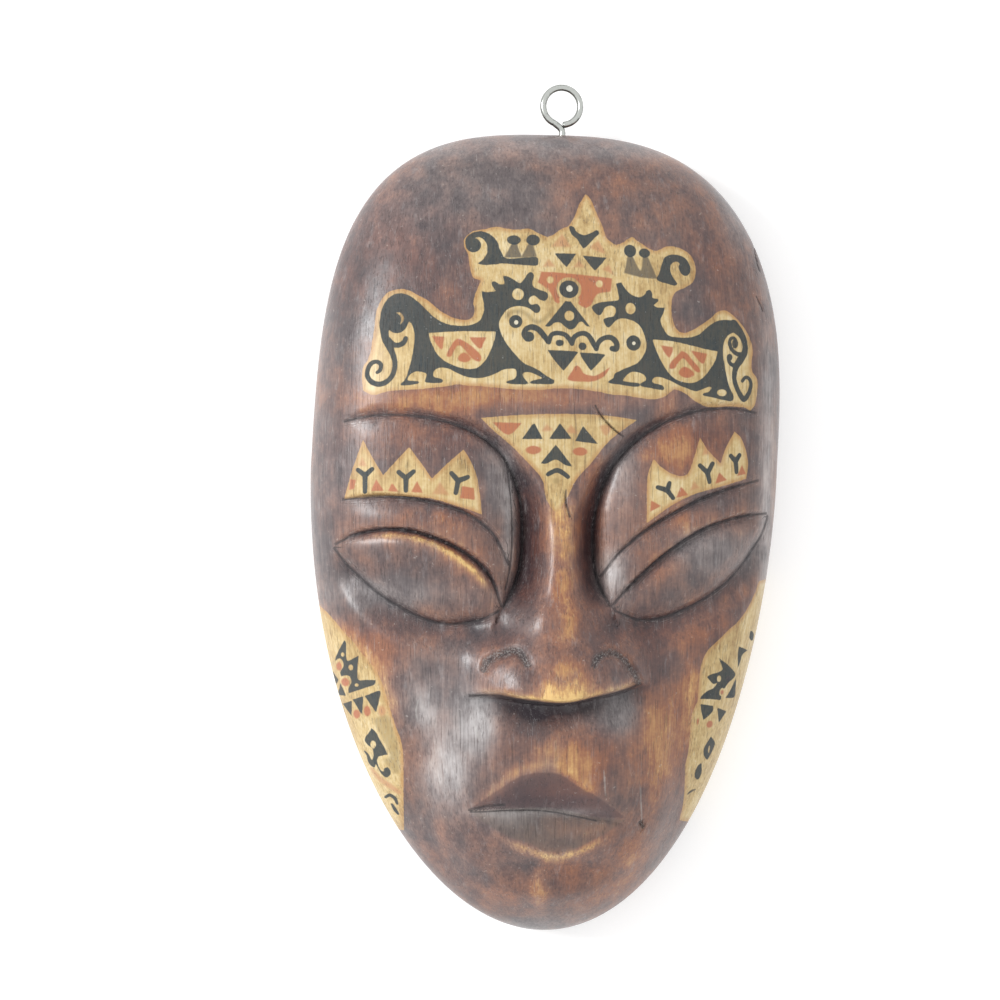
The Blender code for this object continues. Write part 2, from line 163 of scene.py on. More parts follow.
# Camera: what one pixel of the photograph spans, its middle, the pixel over the wood's middle, the tilt to
# the left, how far away and above the table it looks, its near end, and the search along its rays: steps,
# and the share of the side wall's height that stands for places beyond the outline.
PHOTO_SIZE = 1000
WOOD_PIXELS = 795
PIXEL = MASK_LENGTH / WOOD_PIXELS
PHOTO_MIDDLE = PHOTO_SIZE / 2
WOOD_PIXEL = (543, 532.5)
CAMERA_TILT = math.radians(6)
CAMERA_DISTANCE = 0.620
TARGET_HEIGHT = 0.010
SENSOR = 36
NEAR_CLIP = 0.01
RAY_STEPS = 14
BEYOND_SHARE = 0.8

HALF_WIDTH = MASK_WIDTH / 2
HALF_LENGTH = MASK_LENGTH / 2
HALF_FACE = HALF_WIDTH * FACE_SHARE
WIRE_RADIUS = WIRE_DIAMETER / 2
MILLIMETRE = 0.001

# Measures kept on the vertices: how far paint and lines are measured, half widths of the dark lines of
# painted shade and how they end, how steep cuts are, the raster that finds hollows for painted shade with
# its windows and its last cell, how wear fades at a strip's ends and stain at a patch's, and the mark of
# what carries no paint.
PAINT_REACH = 0.004
LINE_REACH = 0.0030
CREASE_WIDTH = 0.0005
MOUTH_WIDTH = 0.0003
LINE_END_RISE = 40
CUT_SLOPE = 1.5
CAVITY_CELL = 0.0008
CAVITY_BLURS = (2, 6)
LAST_CELL = 1.001
STRIP_END_RISE = (4, 0.35)
PATCH_FALLOFF = (0.8, 2.2)
NOT_PAINTED = 1.0

# Colours of the stain, cool and warm, and of bare wood, from dark to light.
COOL_STOPS = (
    (0.0, (0.034, 0.026, 0.032)), (0.30, (0.088, 0.066, 0.067)), (0.55, (0.168, 0.128, 0.119)),
    (0.80, (0.300, 0.240, 0.220)), (1.0, (0.520, 0.430, 0.340)),
)
WARM_STOPS = (
    (0.0, (0.045, 0.018, 0.018)), (0.30, (0.145, 0.056, 0.040)), (0.55, (0.290, 0.115, 0.058)),
    (0.80, (0.470, 0.245, 0.098)), (1.0, (0.740, 0.490, 0.190)),
)
BARE_STOPS = ((0.1, (0.32, 0.19, 0.066)), (0.5, (0.57, 0.415, 0.186)), (0.9, (0.73, 0.61, 0.37)))
BURNT_EDGE = (0.40, 0.17, 0.045)
# Grey of worn lacquer and of the painted sheen and highlights; the broad smears use it too.
SHEEN_AND_WEAR_GREY = (0.56, 0.54, 0.54)
# Dark of the painted shade in the creases; the dark scratches beside them use it too.
CREASE = (0.032, 0.028, 0.031)
# Grey of scuffs and scratches, and of the light flecks that are partly painted glints.
SCUFF_AND_GLINT_GREY = (0.40, 0.38, 0.36)
PORE = (0.025, 0.016, 0.014)
DUST = (0.60, 0.58, 0.55)
STEEL = (0.62, 0.64, 0.61)
# Dark of soil on the steel and of the painted dark reflection on the wire's flanks.
STEEL_SOIL_AND_SHADE = (0.13, 0.14, 0.125)

# Paints in the order they are laid: colour, how well they cover and how soft their edges are. Each thins by
# what it lacks to the full cover, but only so far. The last kinds of motif only cut paint out or restore it.
Paint = namedtuple("Paint", "colour cover softness")
PAINTS = {
    "graze": Paint(SCUFF_AND_GLINT_GREY, 0.60, 0.22),
    # The upper lip: dark stain and painted shade.
    "lip_dark": Paint((0.068, 0.030, 0.034), 0.50, 0.35),
    "lip_olive": Paint((0.130, 0.100, 0.075), 0.34, 0.35),
    "olive": Paint((0.20, 0.14, 0.05), 0.45, 0.6),
    "faded": Paint((0.46, 0.20, 0.09), 0.64, 0.5),
    "red": Paint((0.40, 0.105, 0.045), 0.84, 0.26),
    "smoke": Paint((0.060, 0.052, 0.044), 0.80, 0.3),
    "black": Paint((0.022, 0.035, 0.043), 0.94, 0.16),
    "white": Paint((0.74, 0.68, 0.52), 0.9, 0.12),
}
FULL_COVER = 1.05
MOST_THINNING = 0.4
CUT_OUT = ("gap", "cleared", "over")

# Noises from -0.5 to 0.5 in the wood and the steel: waves a metre along each axis, detail, roughness and
# distortion.
Noise = namedtuple("Noise", "scale detail roughness distortion", defaults=(0.0,))
WOOD_NOISES = {
    "grain": Noise((1500, 42, 1500), 3, 0.65),
    "fibre": Noise((420, 14, 420), 2, 0.5),
    "figure": Noise((120, 7, 120), 2, 0.5, 0.6),
    "mottle": Noise((190, 150, 190), 3, 0.6),
    "blotch": Noise((62, 45, 62), 3, 0.55),
    "cloud": Noise((24, 18, 24), 2, 0.5),
    "speck": Noise((900, 900, 900), 2, 0.6),
    "pores": Noise((2300, 130, 2300), 1, 0.5),
    "flecks": Noise((2600, 1700, 2600), 1, 0.5),
    "brush": Noise((700, 700, 700), 2, 0.5),
}
STEEL_NOISES = {
    "haze": Noise((700, 700, 700), 3, 0.6),
    "drawn": Noise((2600, 400, 2600), 2, 0.6),
}

# Scratches: turn and start of each set of lanes and their scale. Broad smears: their turn, scale, detail and
# roughness. Scratches beside the dark lines: waves a millimetre along and a half width across, detail and
# roughness, and how far they make the crease wander.
SCRATCH_SETS = ((0.5, 3.0), (-0.7, 11.0), (1.4, 23.0))
SCRATCH_SCALE = (2400, 75, 300)
SMEAR_TURN = 1.1
SMEAR_SCALE = (420, 110, 300)
SMEAR_NOISE = (4, 0.7)
LINE_SCALE = (0.35, 1.6)
LINE_NOISE = (3, 0.65)
LINE_WOBBLE = 1.2

# Limits between which a value rises from 0 to 1.
RISES = {
    "crease": (1.5, 0.2), "crease_near": (0.25, 0.6), "crease_uneven": (0.30, 0.62),
    "dark": (0.53, 0.63), "light": (0.44, 0.34), "fleck": (-0.02, 0.14), "fleck_width": (0.65, 0.85),
    "scratch": (0.74, 0.80), "smear": (0.55, 0.75), "pore": (0.10, 0.20), "dust": (0.17, 0.28),
    "bare": (0.16, -0.12), "burnt": (-1.7, -0.1), "soil": (0.05, 0.25), "flank_shade": (0.42, 0.92),
}

# What each look is made of: the share of every mark in it, and an even share that is the same all over.
CREASE_UNEVEN = {"even": 0.55, "uneven": 0.45}
RUBBED = {"even": 0.72, "grain": 0.546, "fibre": 0.26, "figure": 0.208}
# In the depth, the hollow share is painted shade.
DEPTH = {
    "even": 0.415, "tone": 0.80, "grain": 0.42, "fibre": 0.20, "figure": 0.16, "mottle": 0.46,
    "blotch": 0.42, "cloud": 0.26, "speck": 0.25, "hollow": -1, "rubbed": 0.60,
}
WARMTH = {"even": 0.32, "warmth": 0.7, "blotch": 1.7, "mottle": 0.8, "rubbed": 0.6}
SHEEN_AND_WEAR_STREAKS = {"even": 0.62, "grain": 1.3, "mottle": 1.6}
WOBBLE = {"brush": 0.5, "grain": 0.25}
BARE_SHADE = {
    "even": 0.50, "tone": 0.6, "grain": 0.9, "fibre": 0.5, "blotch": 0.9, "mottle": 0.6, "speck": 0.4,
}
BURNT = {"even": 0.5, "blotch": 1.4, "mottle": 0.8}
THINNING = {"grain": 1.6, "speck": 0.8, "mottle": 0.9}
ROUGHNESS = {"even": 0.40, "speck": 0.3, "blotch": 0.3, "bare": 0.10, "black": 0.15, "crease": 0.2}
GLOSS = {"even": 0.32, "cloud": 0.6, "black": -0.28, "crease": -0.3, "bare": -0.1}
RELIEF = {
    "grain": 0.7, "fibre": 0.5, "pore": -0.9, "speck": 0.3, "mottle": 1.2, "dark": -0.8, "crease": -1.2,
    "scratch": -0.5,
}
# Shares of soil and of the painted dark reflection on the wire's flanks.
STEEL_SOILED_AND_SHADED = {"soil": 0.3, "flank_shade": 0.85}
STEEL_ROUGHNESS = {"even": 0.24, "haze": 0.12, "drawn": 0.08}
STEEL_RELIEF = {"drawn": 1, "haze": 1}

# How much painted shade darkens a hollow by what rises close to it and further around, how strongly a crest
# is rubbed, how far the edges of bare wood and of paint wander, and how uneven the painted dark reflection
# on the wire's flanks is.
HOLLOW_SHADE_CLOSE = 0.22
HOLLOW_SHADE_WIDE = 0.09
CREST_RUB = -0.30
BARE_WOBBLE = 0.7
PAINT_WOBBLE = 0.5
FLANK_HAZE = 0.6

# Layers over the stain and, later, over stain and paint: mark, colour, and how much it hides at most.
# Among these, the sheen is partly worn lacquer and partly painted highlight.
STAIN_LAYERS = (
    ("dark", CREASE, 0.35), ("light", SCUFF_AND_GLINT_GREY, 0.40), ("scratch", SCUFF_AND_GLINT_GREY, 0.22), ("smear", SHEEN_AND_WEAR_GREY, 0.16),
    ("veil", SHEEN_AND_WEAR_GREY, 0.45),
)
# Over everything: sheen, partly painted highlight; pores; the crease, painted shade; flecks, partly painted
# glints; dust.
TOP_LAYERS = (
    ("veil", SHEEN_AND_WEAR_GREY, 0.28), ("pore", PORE, 0.34), ("crease", CREASE, 0.85), ("fleck", SCUFF_AND_GLINT_GREY, 0.38),
    ("dust", DUST, 0.25),
)

# Lacquer, and the fine relief of wood and steel: strength and height.
LACQUER_ROUGHNESS = 0.24
LACQUER_IOR = 1.5
WOOD_BUMP = (0.5, 0.00018)
STEEL_BUMP = (0.2, 0.00004)

# Table, room and lamp: name, place, size and power.
TABLE_WHITE = (0.90, 0.90, 0.90)
TABLE_GLOW = 0.32
TABLE_ROUGHNESS = 0.9
TABLE_REACH = 3.0
ROOM_WHITE = (1.0, 1.0, 1.0)
ROOM_STRENGTH = 0.9
LAMPS = (("window", (-1.1, 0.35, 0.75), 0.4, 10.5),)

# A groove runs through its spots, in hundredths of half the face's width and of the half length from the
# face's middle. Its depths are hundredths of the named depth at equal steps along it. Left and right are
# seen along its way: how wide each side's slope is, in the same hundredths, and how convex, from 0 to 1.
Groove = namedtuple("Groove", "spots depth depths left right convex_left convex_right")

BROWS = (
    Groove(
        ((-89, 27), (-73, 28.6), (-54, 28), (-36, 25), (-22, 19), (-14.5, 9), (-13, -2),
         (-15.5, -11), (-23, -19)),
        BROW_DEPTH, (0, 14, 24, 36, 52, 76, 94, 96, 30), (3, 4, 6, 12, 15), (12, 22, 24, 22, 14),
        0.2, 1.0,
    ),
    Groove(
        ((90, 29.5), (74, 30.6), (56, 29), (38, 24), (25, 16.5), (18.5, 7), (16.8, -2),
         (18.5, -11), (24, -18.5)),
        BROW_DEPTH, (0, 14, 24, 36, 52, 76, 94, 96, 30), (12, 22, 24, 22, 14), (3, 4, 6, 12, 15),
        1.0, 0.2,
    ),
)
LOWER_LIDS = (
    Groove(
        ((-92, -2.9), (-84, -8.6), (-69, -16), (-50, -21.2), (-34, -21), (-22, -18)),
        UNDER_EYE_DEPTH, (0, 80, 100, 100, 90, 20), (6, 10, 11, 10, 6), (8, 13, 15, 14, 8), 1.0, 0.1,
    ),
    Groove(
        ((96, 4.9), (91, -2), (76, -12), (56, -18.6), (38, -21), (23, -18)),
        UNDER_EYE_DEPTH, (0, 80, 100, 100, 90, 20), (8, 13, 15, 14, 8), (6, 10, 11, 10, 6), 0.1, 1.0,
    ),
)
FOLDS = (
    Groove(
        ((-89, 8.2), (-73, 9.1), (-56, 8.2), (-38, 5.2), (-26, 0), (-18.6, -8)),
        CREASE_DEPTH, (0, 90, 100, 100, 80, 0), (1.4,), (9,), 0.0, 0.5,
    ),
    Groove(
        ((91, 13.2), (76, 11), (60, 7.7), (40, 1.5), (27, -4.8), (19, -11)),
        CREASE_DEPTH, (0, 90, 100, 100, 80, 0), (9,), (1.4,), 0.5, 0.0,
    ),
    Groove(
        ((-92, -2.9), (-80, 0.2), (-62, 0.9), (-42, -3), (-28, -9.4), (-22, -18)),
        LID_DEPTH, (0, 85, 100, 100, 90, 0), (1.4,), (6,), 0.0, 1.0,
    ),
    Groove(
        ((96, 4.9), (81, 4), (64, 1), (46, -5.4), (31, -13), (23, -18)),
        LID_DEPTH, (0, 85, 100, 100, 90, 0), (7,), (1.4,), 0.3, 0.0,
    ),
)
LID_CRESTS = (
    Groove(
        ((-76, -1.6), (-60, -2), (-44, -5.4), (-31, -11.4), (-25, -17)),
        LID_CREST, (0, -90, -100, -80, 0), (3.5,), (11,), 0.0, 0.0,
    ),
)

# Outlines of the nose's cut-off base and of the lips, in the same hundredths.
NOSE_BASE = (
    (-56, -40), (-37, -38.6), (-25, -38.2), (-12, -39.4), (2, -39.9), (16, -38.6), (27, -37.4),
    (37, -36), (56, -36),
)
NOSE_BASE_UNDERCUTS = (0, 0, 70, 100, 100, 100, 70, 0, 0)
LIP_TOP = ((-35, -66.4), (-24, -62.2), (-12, -57.8), (-1, -56.4), (9, -58.4), (22, -64), (37, -71.2))
LIP_BOTTOM = ((-35, -67), (-22, -72.4), (-8, -75.8), (2, -76.8), (14, -75), (24, -72.8), (37, -71.6))
MOUTH = ((-36, -66.7), (-18, -66), (-2, -66.6), (18, -69), (38, -71.4))

# Swells: centre and radii in the same hundredths, and height as a share of the named one.
Swell = namedtuple("Swell", "centre radii height")
SWELLS = (
    Swell((1.5, -60), (53, 31), MUZZLE_HEIGHT),
    Swell((1.5, -67), (38, 12), MUZZLE_HEIGHT * 0.22),
    Swell((0, -92), (30, 11), MUZZLE_HEIGHT * 0.20),
    Swell((0, -82), (28, 5), MUZZLE_HEIGHT * -0.22),
    Swell((-4, -89), (4, 10), MUZZLE_HEIGHT * 0.08),
    Swell((-56, -62), (9, 20), MUZZLE_HEIGHT * -0.16),
    Swell((57, -60), (9, 20), MUZZLE_HEIGHT * -0.14),
)

# Nose, from the bridge down to its base: heights as shares of the tip's, and half widths.
NOSE_MIDDLE = 1
NOSE_TOP = 14
NOSE_BOTTOM = -39
NOSE_HEIGHTS = (0.0, 0.14, 0.30, 0.46, 0.70, 0.94, 1.0)
NOSE_HALF_WIDTHS = (11, 11, 12, 15, 19, 24, 26)
NOSTRIL_CENTRES = ((-24, -34.5), (25, -33.5))
NOSTRIL_RADII = (12.5, 7.5)
BASE_CUT_WIDTH = 0.0036

# Ornament, drawn on sheets that show parts of the photograph enlarged: each sheet's corner is a pixel of the
# photograph, and its scale says how many of its own pixels make one there. Radii are in the photograph's.
# Kinds: bare wood left by the stain, the lips' stains, the upper one darkened by stain and painted shade,
# black, red and faded red paint, thin black "smoke", olive and white paint, a gap left in the black, a place
# cleared of black and red, and black laid over such places. A spot given twice is a corner.
Sheet = namedtuple("Sheet", "corner scale")
CROWN_LEFT = Sheet((355, 190), 7.468)
CROWN_RIGHT = Sheet((540, 190), 6.817)
CHEEK_LEFT = Sheet((310, 600), 6.817)
CHEEK_RIGHT = Sheet((663, 590), 6.817)
PHOTO = Sheet((0, 0), 1)

Area = namedtuple("Area", "kind spots")
Stroke = namedtuple("Stroke", "kind spots half_widths")
Dot = namedtuple("Dot", "kind centre radii")


def on(sheet, *spots):
    """Pixels of the photograph for spots that are drawn on a sheet."""
    return [(sheet.corner[0] + x / sheet.scale, sheet.corner[1] + y / sheet.scale) for x, y in spots]


def brush(sheet, *widths):
    """Half widths in the photograph's pixels of a brush stroke that is drawn on a sheet."""
    return [width / sheet.scale / 2 for width in widths]


def areas(kind, sheet, **outlines):
    """Painted areas of one kind by their names, all drawn on one sheet."""
    return {name: Area(kind, on(sheet, *spots)) for name, spots in outlines.items()}


AREAS = {
    "crown_field": Area(
        "bare",
        on(
            CROWN_LEFT, (60, 1495), (60, 1495), (52, 1400), (62, 1320), (95, 1270), (118, 1200),
            (130, 1120), (142, 1050), (152, 960), (165, 890), (185, 845), (212, 800), (250, 762),
            (300, 745), (360, 740), (420, 757), (470, 785), (520, 812), (560, 838), (600, 872), (640, 905),
            (690, 935), (740, 957), (790, 968), (840, 970), (872, 955), (892, 920), (893, 880), (885, 850),
            (890, 810), (902, 770), (918, 730), (940, 672), (940, 672), (885, 655), (868, 610), (856, 560),
            (850, 510), (843, 475), (826, 445), (813, 410), (817, 370), (840, 338), (880, 310), (930, 298),
            (985, 290), (1030, 278), (1080, 277), (1130, 288), (1200, 297), (1260, 290), (1310, 292),
            (1350, 312), (1390, 332), (1440, 352),
        )
        + on(
            CROWN_RIGHT, (50, 320), (100, 300), (140, 268), (200, 240), (240, 170), (272, 90), (312, 28),
            (312, 28), (345, 65), (372, 125), (400, 190), (430, 260), (450, 320), (480, 352), (520, 372),
            (570, 357), (600, 335), (630, 322), (660, 345), (700, 370), (740, 397), (790, 415), (830, 400),
            (862, 386), (920, 388), (980, 410), (1030, 450), (1056, 510), (1060, 570), (1040, 630),
            (980, 668), (930, 690), (905, 730), (895, 790), (900, 860), (920, 930), (950, 965), (985, 975),
            (1030, 960), (1100, 920), (1170, 870), (1210, 832), (1260, 820), (1310, 850), (1360, 900),
            (1410, 970), (1440, 1040), (1450, 1100), (1442, 1180), (1448, 1240), (1480, 1290),
            (1482, 1350), (1475, 1420), (1462, 1470), (1430, 1505), (1430, 1505), (1390, 1482),
            (1300, 1475), (1200, 1480), (1130, 1475), (1060, 1440), (1010, 1400), (960, 1370), (915, 1358),
            (915, 1358), (870, 1392), (830, 1415), (770, 1425), (700, 1420), (600, 1402), (500, 1395),
            (400, 1375), (300, 1360), (200, 1352), (100, 1352),
        )
        + on(
            CROWN_LEFT, (1450, 1485), (1350, 1493), (1250, 1490), (1150, 1485), (1060, 1475), (950, 1465),
            (840, 1460), (760, 1450), (700, 1463), (620, 1470), (500, 1485), (400, 1490), (290, 1497),
            (200, 1515), (150, 1530), (100, 1520),
        ),
    ),
    "red_sash": Area(
        "red",
        on(
            CROWN_LEFT, (1392, 608), (1392, 608),
        )
        + on(
            CROWN_RIGHT, (0, 556), (100, 560), (250, 575), (400, 590), (492, 602), (492, 602), (482, 692),
            (482, 692), (400, 706), (370, 740), (350, 782), (312, 806), (312, 806), (262, 775), (262, 735),
            (140, 735), (128, 775), (128, 775), (100, 760), (85, 715), (50, 678), (0, 640),
        )
        + on(
            CROWN_LEFT, (1450, 740), (1365, 690), (1365, 690),
        ),
    ),
    **areas(
        "black", CROWN_LEFT,
        left_beast=(
            (182, 1010), (186, 960), (200, 890), (230, 830), (270, 790), (330, 770), (400, 785),
            (460, 825), (520, 880), (580, 940), (640, 980), (700, 1003), (760, 1012), (830, 1012),
            (890, 998), (935, 970), (960, 910), (962, 850), (950, 800), (943, 750), (943, 750), (985, 762),
            (1052, 755), (1052, 755), (1025, 715), (1018, 685), (1018, 685), (1045, 682), (1080, 703),
            (1118, 703), (1118, 703), (1110, 670), (1103, 640), (1103, 640), (1130, 642), (1180, 665),
            (1230, 695), (1265, 660), (1290, 625), (1318, 613), (1337, 640), (1325, 690), (1337, 725),
            (1380, 745), (1432, 765), (1442, 800), (1415, 828), (1375, 815), (1340, 788), (1305, 803),
            (1298, 835), (1320, 856), (1360, 850), (1384, 878), (1375, 912), (1345, 917), (1310, 890),
            (1270, 872), (1220, 866), (1170, 876), (1130, 898), (1105, 930), (1085, 965), (1076, 1000),
            (1085, 1050), (1110, 1110), (1150, 1170), (1200, 1230), (1260, 1290), (1330, 1325),
            (1380, 1350), (1420, 1380), (1460, 1405), (1488, 1420), (1488, 1420), (1478, 1447),
            (1400, 1450), (1318, 1446), (1310, 1430), (1350, 1417), (1398, 1405), (1350, 1378),
            (1310, 1363), (1265, 1362), (1252, 1378), (1262, 1402), (1287, 1430), (1287, 1430),
            (1290, 1449), (1180, 1450), (1130, 1440), (1140, 1425), (1180, 1415), (1203, 1390),
            (1200, 1340), (1150, 1335), (1100, 1345), (1050, 1370), (1000, 1390), (940, 1403), (870, 1402),
            (810, 1387), (760, 1365), (700, 1335), (650, 1325), (610, 1335), (590, 1355), (585, 1385),
            (600, 1400), (640, 1408), (657, 1425), (640, 1440), (560, 1441), (523, 1432), (530, 1400),
            (535, 1380), (520, 1365), (470, 1355), (430, 1365), (402, 1392), (395, 1420), (440, 1425),
            (474, 1430), (470, 1447), (400, 1457), (345, 1459), (343, 1443), (365, 1425), (385, 1390),
            (400, 1340), (420, 1270), (435, 1190), (445, 1110), (441, 1060), (427, 1010), (405, 982),
            (393, 1005), (375, 1040), (345, 1062), (310, 1070), (275, 1060), (250, 1038), (250, 1038),
            (240, 1080), (262, 1110), (262, 1110), (230, 1140), (205, 1100),
        ),
        left_crest_base=(
            (908, 548), (908, 548), (955, 520), (985, 470), (1000, 430), (1060, 420), (1085, 465),
            (1112, 500), (1160, 512), (1245, 505), (1355, 500), (1368, 535), (1355, 564), (1250, 560),
            (1100, 549), (980, 560),
        ),
    ),
    **areas(
        "gap", CROWN_LEFT,
        left_haunch_crescent=(
            (303, 915), (303, 915), (338, 916), (362, 945), (360, 980), (335, 1006), (335, 1006),
            (346, 965), (330, 932),
        ),
        left_wing=(
            (549, 1068), (549, 1068), (640, 1062), (780, 1055), (900, 1055), (1050, 1057), (1050, 1057),
            (1043, 1110), (1020, 1180), (980, 1260), (925, 1320), (860, 1337), (790, 1327), (720, 1302),
            (660, 1270), (610, 1220), (580, 1160), (560, 1110),
        ),
    ),
    **areas(
        "red", CROWN_LEFT,
        left_wing_red_a=(
            (575, 1090), (575, 1090), (668, 1094), (668, 1094), (658, 1150), (648, 1192), (610, 1155),
        ),
        left_wing_red_b=(
            (683, 1238), (700, 1190), (735, 1135), (765, 1110), (800, 1120), (850, 1150), (900, 1190),
            (942, 1240), (932, 1282), (880, 1262), (830, 1205), (790, 1165), (762, 1165), (738, 1205),
            (715, 1245),
        ),
        left_wing_red_c=(
            (853, 1098), (853, 1098), (982, 1100), (982, 1100), (960, 1145), (940, 1187), (890, 1150),
        ),
        left_wing_red_d=((773, 1240), (812, 1213), (850, 1235), (862, 1270), (820, 1286), (773, 1272)),
        sash_left_drop=((1450, 740), (1495, 770), (1531, 835), (1500, 840), (1478, 800)),
    ),
    **areas(
        "smoke", CROWN_LEFT,
        left_crest_cone_a=(
            (1172, 395), (1172, 395), (1205, 395), (1205, 395), (1250, 505), (1250, 505), (1112, 505),
            (1112, 505),
        ),
        left_crest_cone_b=(
            (1295, 400), (1295, 400), (1328, 400), (1328, 400), (1360, 500), (1360, 500), (1238, 505),
            (1238, 505),
        ),
    ),
    **areas(
        "black", CROWN_RIGHT,
        right_beast=(
            (353, 805), (375, 778), (430, 762), (500, 755), (537, 745), (530, 690), (518, 638), (518, 638),
            (555, 628), (555, 628), (580, 670), (625, 715), (680, 730), (715, 710), (725, 690), (750, 680),
            (766, 710), (768, 735), (803, 742), (808, 756), (775, 785), (775, 785), (800, 800), (853, 800),
            (853, 800), (838, 850), (822, 890), (845, 950), (880, 992), (950, 1005), (1030, 1003),
            (1090, 980), (1140, 935), (1200, 897), (1260, 885), (1330, 900), (1330, 960), (1290, 985),
            (1265, 1015), (1250, 1060), (1248, 1120), (1260, 1200), (1275, 1280), (1295, 1350),
            (1320, 1405), (1308, 1438), (1250, 1432), (1180, 1415), (1115, 1402), (1115, 1385),
            (1150, 1375), (1168, 1350), (1150, 1342), (1100, 1362), (1060, 1371), (1000, 1352),
            (940, 1327), (870, 1292), (820, 1275), (785, 1277), (766, 1297), (775, 1315), (830, 1330),
            (848, 1352), (832, 1364), (760, 1352), (688, 1337), (690, 1315), (720, 1300), (718, 1270),
            (690, 1250), (640, 1239), (600, 1255), (573, 1285), (570, 1302), (620, 1310), (675, 1317),
            (680, 1335), (655, 1342), (600, 1336), (540, 1326), (472, 1317), (470, 1300), (500, 1280),
            (510, 1250), (560, 1225), (620, 1200), (670, 1175), (710, 1120), (727, 1060), (715, 1000),
            (690, 940), (650, 900), (600, 880), (560, 875), (520, 887), (490, 920), (468, 937), (447, 922),
            (433, 885), (455, 870), (500, 860), (516, 830), (510, 800), (480, 789), (445, 800), (428, 830),
            (412, 852), (383, 845),
        ),
        middle_tent=(
            (190, 735), (190, 735), (345, 935), (345, 935), (315, 925), (290, 900), (262, 905), (240, 940),
            (205, 952), (172, 932), (140, 905), (100, 905), (65, 930), (35, 927), (35, 927),
        ),
        middle_tooth_a=(
            (52, 1090), (52, 1090), (246, 1100), (246, 1125), (168, 1224), (150, 1220), (90, 1150),
        ),
        middle_tooth_b=(
            (270, 1107), (270, 1107), (428, 1118), (433, 1140), (355, 1226), (340, 1222), (295, 1160),
        ),
        peak_smile=(
            (198, 248), (230, 250), (250, 282), (300, 307), (350, 290), (388, 272), (403, 296), (370, 330),
            (333, 370), (298, 397), (275, 370), (252, 335), (215, 300),
        ),
        peak_tooth_a=((96, 430), (96, 430), (247, 433), (247, 433), (190, 515), (170, 515)),
        peak_tooth_b=((290, 447), (290, 447), (455, 461), (455, 461), (385, 540), (362, 538)),
        right_crest_hook=(
            (798, 612), (815, 560), (835, 490), (855, 455), (900, 440), (950, 445), (995, 470),
            (1024, 520), (1022, 565), (992, 587), (960, 567), (944, 525), (950, 500), (925, 488),
            (893, 508), (889, 550), (905, 592), (938, 637), (938, 637), (920, 652), (860, 637),
        ),
    ),
    **areas(
        "gap", CROWN_RIGHT,
        right_wing=(
            (766, 1020), (766, 1020), (850, 1025), (950, 1040), (1050, 1065), (1130, 1085), (1210, 1101),
            (1210, 1101), (1195, 1160), (1160, 1220), (1110, 1280), (1050, 1312), (990, 1312), (930, 1292),
            (880, 1250), (840, 1190), (800, 1110),
        ),
    ),
    **areas(
        "red", CROWN_RIGHT,
        right_wing_red_a=(
            (822, 1058), (822, 1058), (907, 1070), (907, 1070), (902, 1105), (882, 1142), (850, 1110),
        ),
        right_wing_red_b=(
            (885, 1217), (890, 1175), (930, 1135), (965, 1095), (965, 1095), (1000, 1112), (1040, 1160),
            (1080, 1205), (1092, 1240), (1062, 1238), (1010, 1180), (975, 1148), (940, 1180), (922, 1212),
        ),
        right_wing_red_c=(
            (1028, 1094), (1028, 1094), (1138, 1116), (1138, 1116), (1130, 1150), (1110, 1187),
            (1070, 1150),
        ),
        right_wing_red_d=((948, 1232), (985, 1204), (1042, 1235), (1050, 1265), (1000, 1282), (953, 1262)),
        middle_flame=(
            (188, 1292), (215, 1240), (242, 1200), (270, 1205), (300, 1250), (370, 1266), (430, 1238),
            (482, 1202), (482, 1202), (445, 1262), (400, 1292), (350, 1306), (270, 1306),
        ),
    ),
    **areas(
        "faded", CROWN_RIGHT,
        peak_red_a=((150, 298), (150, 298), (212, 388), (212, 388), (78, 385), (78, 385)),
        peak_red_b=((398, 342), (398, 342), (442, 432), (335, 390), (335, 390)),
        peak_red_c=((60, 470), (60, 470), (105, 522), (105, 522), (20, 522), (20, 522)),
        peak_red_d=((265, 478), (265, 478), (305, 527), (305, 527), (228, 525), (228, 525)),
        peak_red_e=((470, 508), (470, 508), (503, 578), (503, 578), (422, 540), (422, 540)),
    ),
    **areas(
        "faded", CROWN_LEFT,
        peak_red_f=((1440, 518), (1440, 518), (1492, 572), (1492, 572), (1418, 570), (1418, 570)),
    ),
    **areas(
        "smoke", CROWN_RIGHT,
        right_crest_cones=(
            (598, 450), (598, 450), (632, 450), (632, 450), (668, 525), (690, 545), (700, 455), (700, 455),
            (736, 455), (736, 455), (800, 605), (800, 605), (700, 598), (573, 565), (573, 565),
        ),
    ),
    **areas(
        "bare", PHOTO,
        brow_field=(
            (481, 418), (481, 418), (520, 415), (560, 414), (600, 415), (637, 420), (637, 420), (610, 440),
            (592, 462), (576, 480), (566, 500), (556, 512), (546, 498), (542, 479), (525, 459.6),
            (509.6, 444), (493, 430),
        ),
        left_tumpal=(
            (344, 499), (344, 499), (353, 468), (363, 440), (363, 440), (372, 457), (383, 475.4),
            (383, 475.4), (397, 460), (409.1, 447.1), (409.1, 447.1), (421, 463), (432, 478.7),
            (432, 478.7), (448, 463), (463.5, 449.7), (463.5, 449.7), (470, 460), (476.5, 475.4),
            (479.8, 495), (482, 514.5), (482, 514.5), (470, 510), (452.6, 504.7), (435, 499.3),
            (413.5, 496.7), (385, 496),
        ),
        right_tumpal=(
            (647, 523), (647, 523), (647, 498), (648, 475), (653.8, 458.8), (653.8, 458.8), (661.5, 467.3),
            (675, 475), (686.5, 475), (692.3, 463.5), (700, 437.3), (700, 437.3), (707.7, 450),
            (721, 463.5), (721, 463.5), (725.8, 448), (734.6, 432), (734.6, 432), (742.3, 440.4),
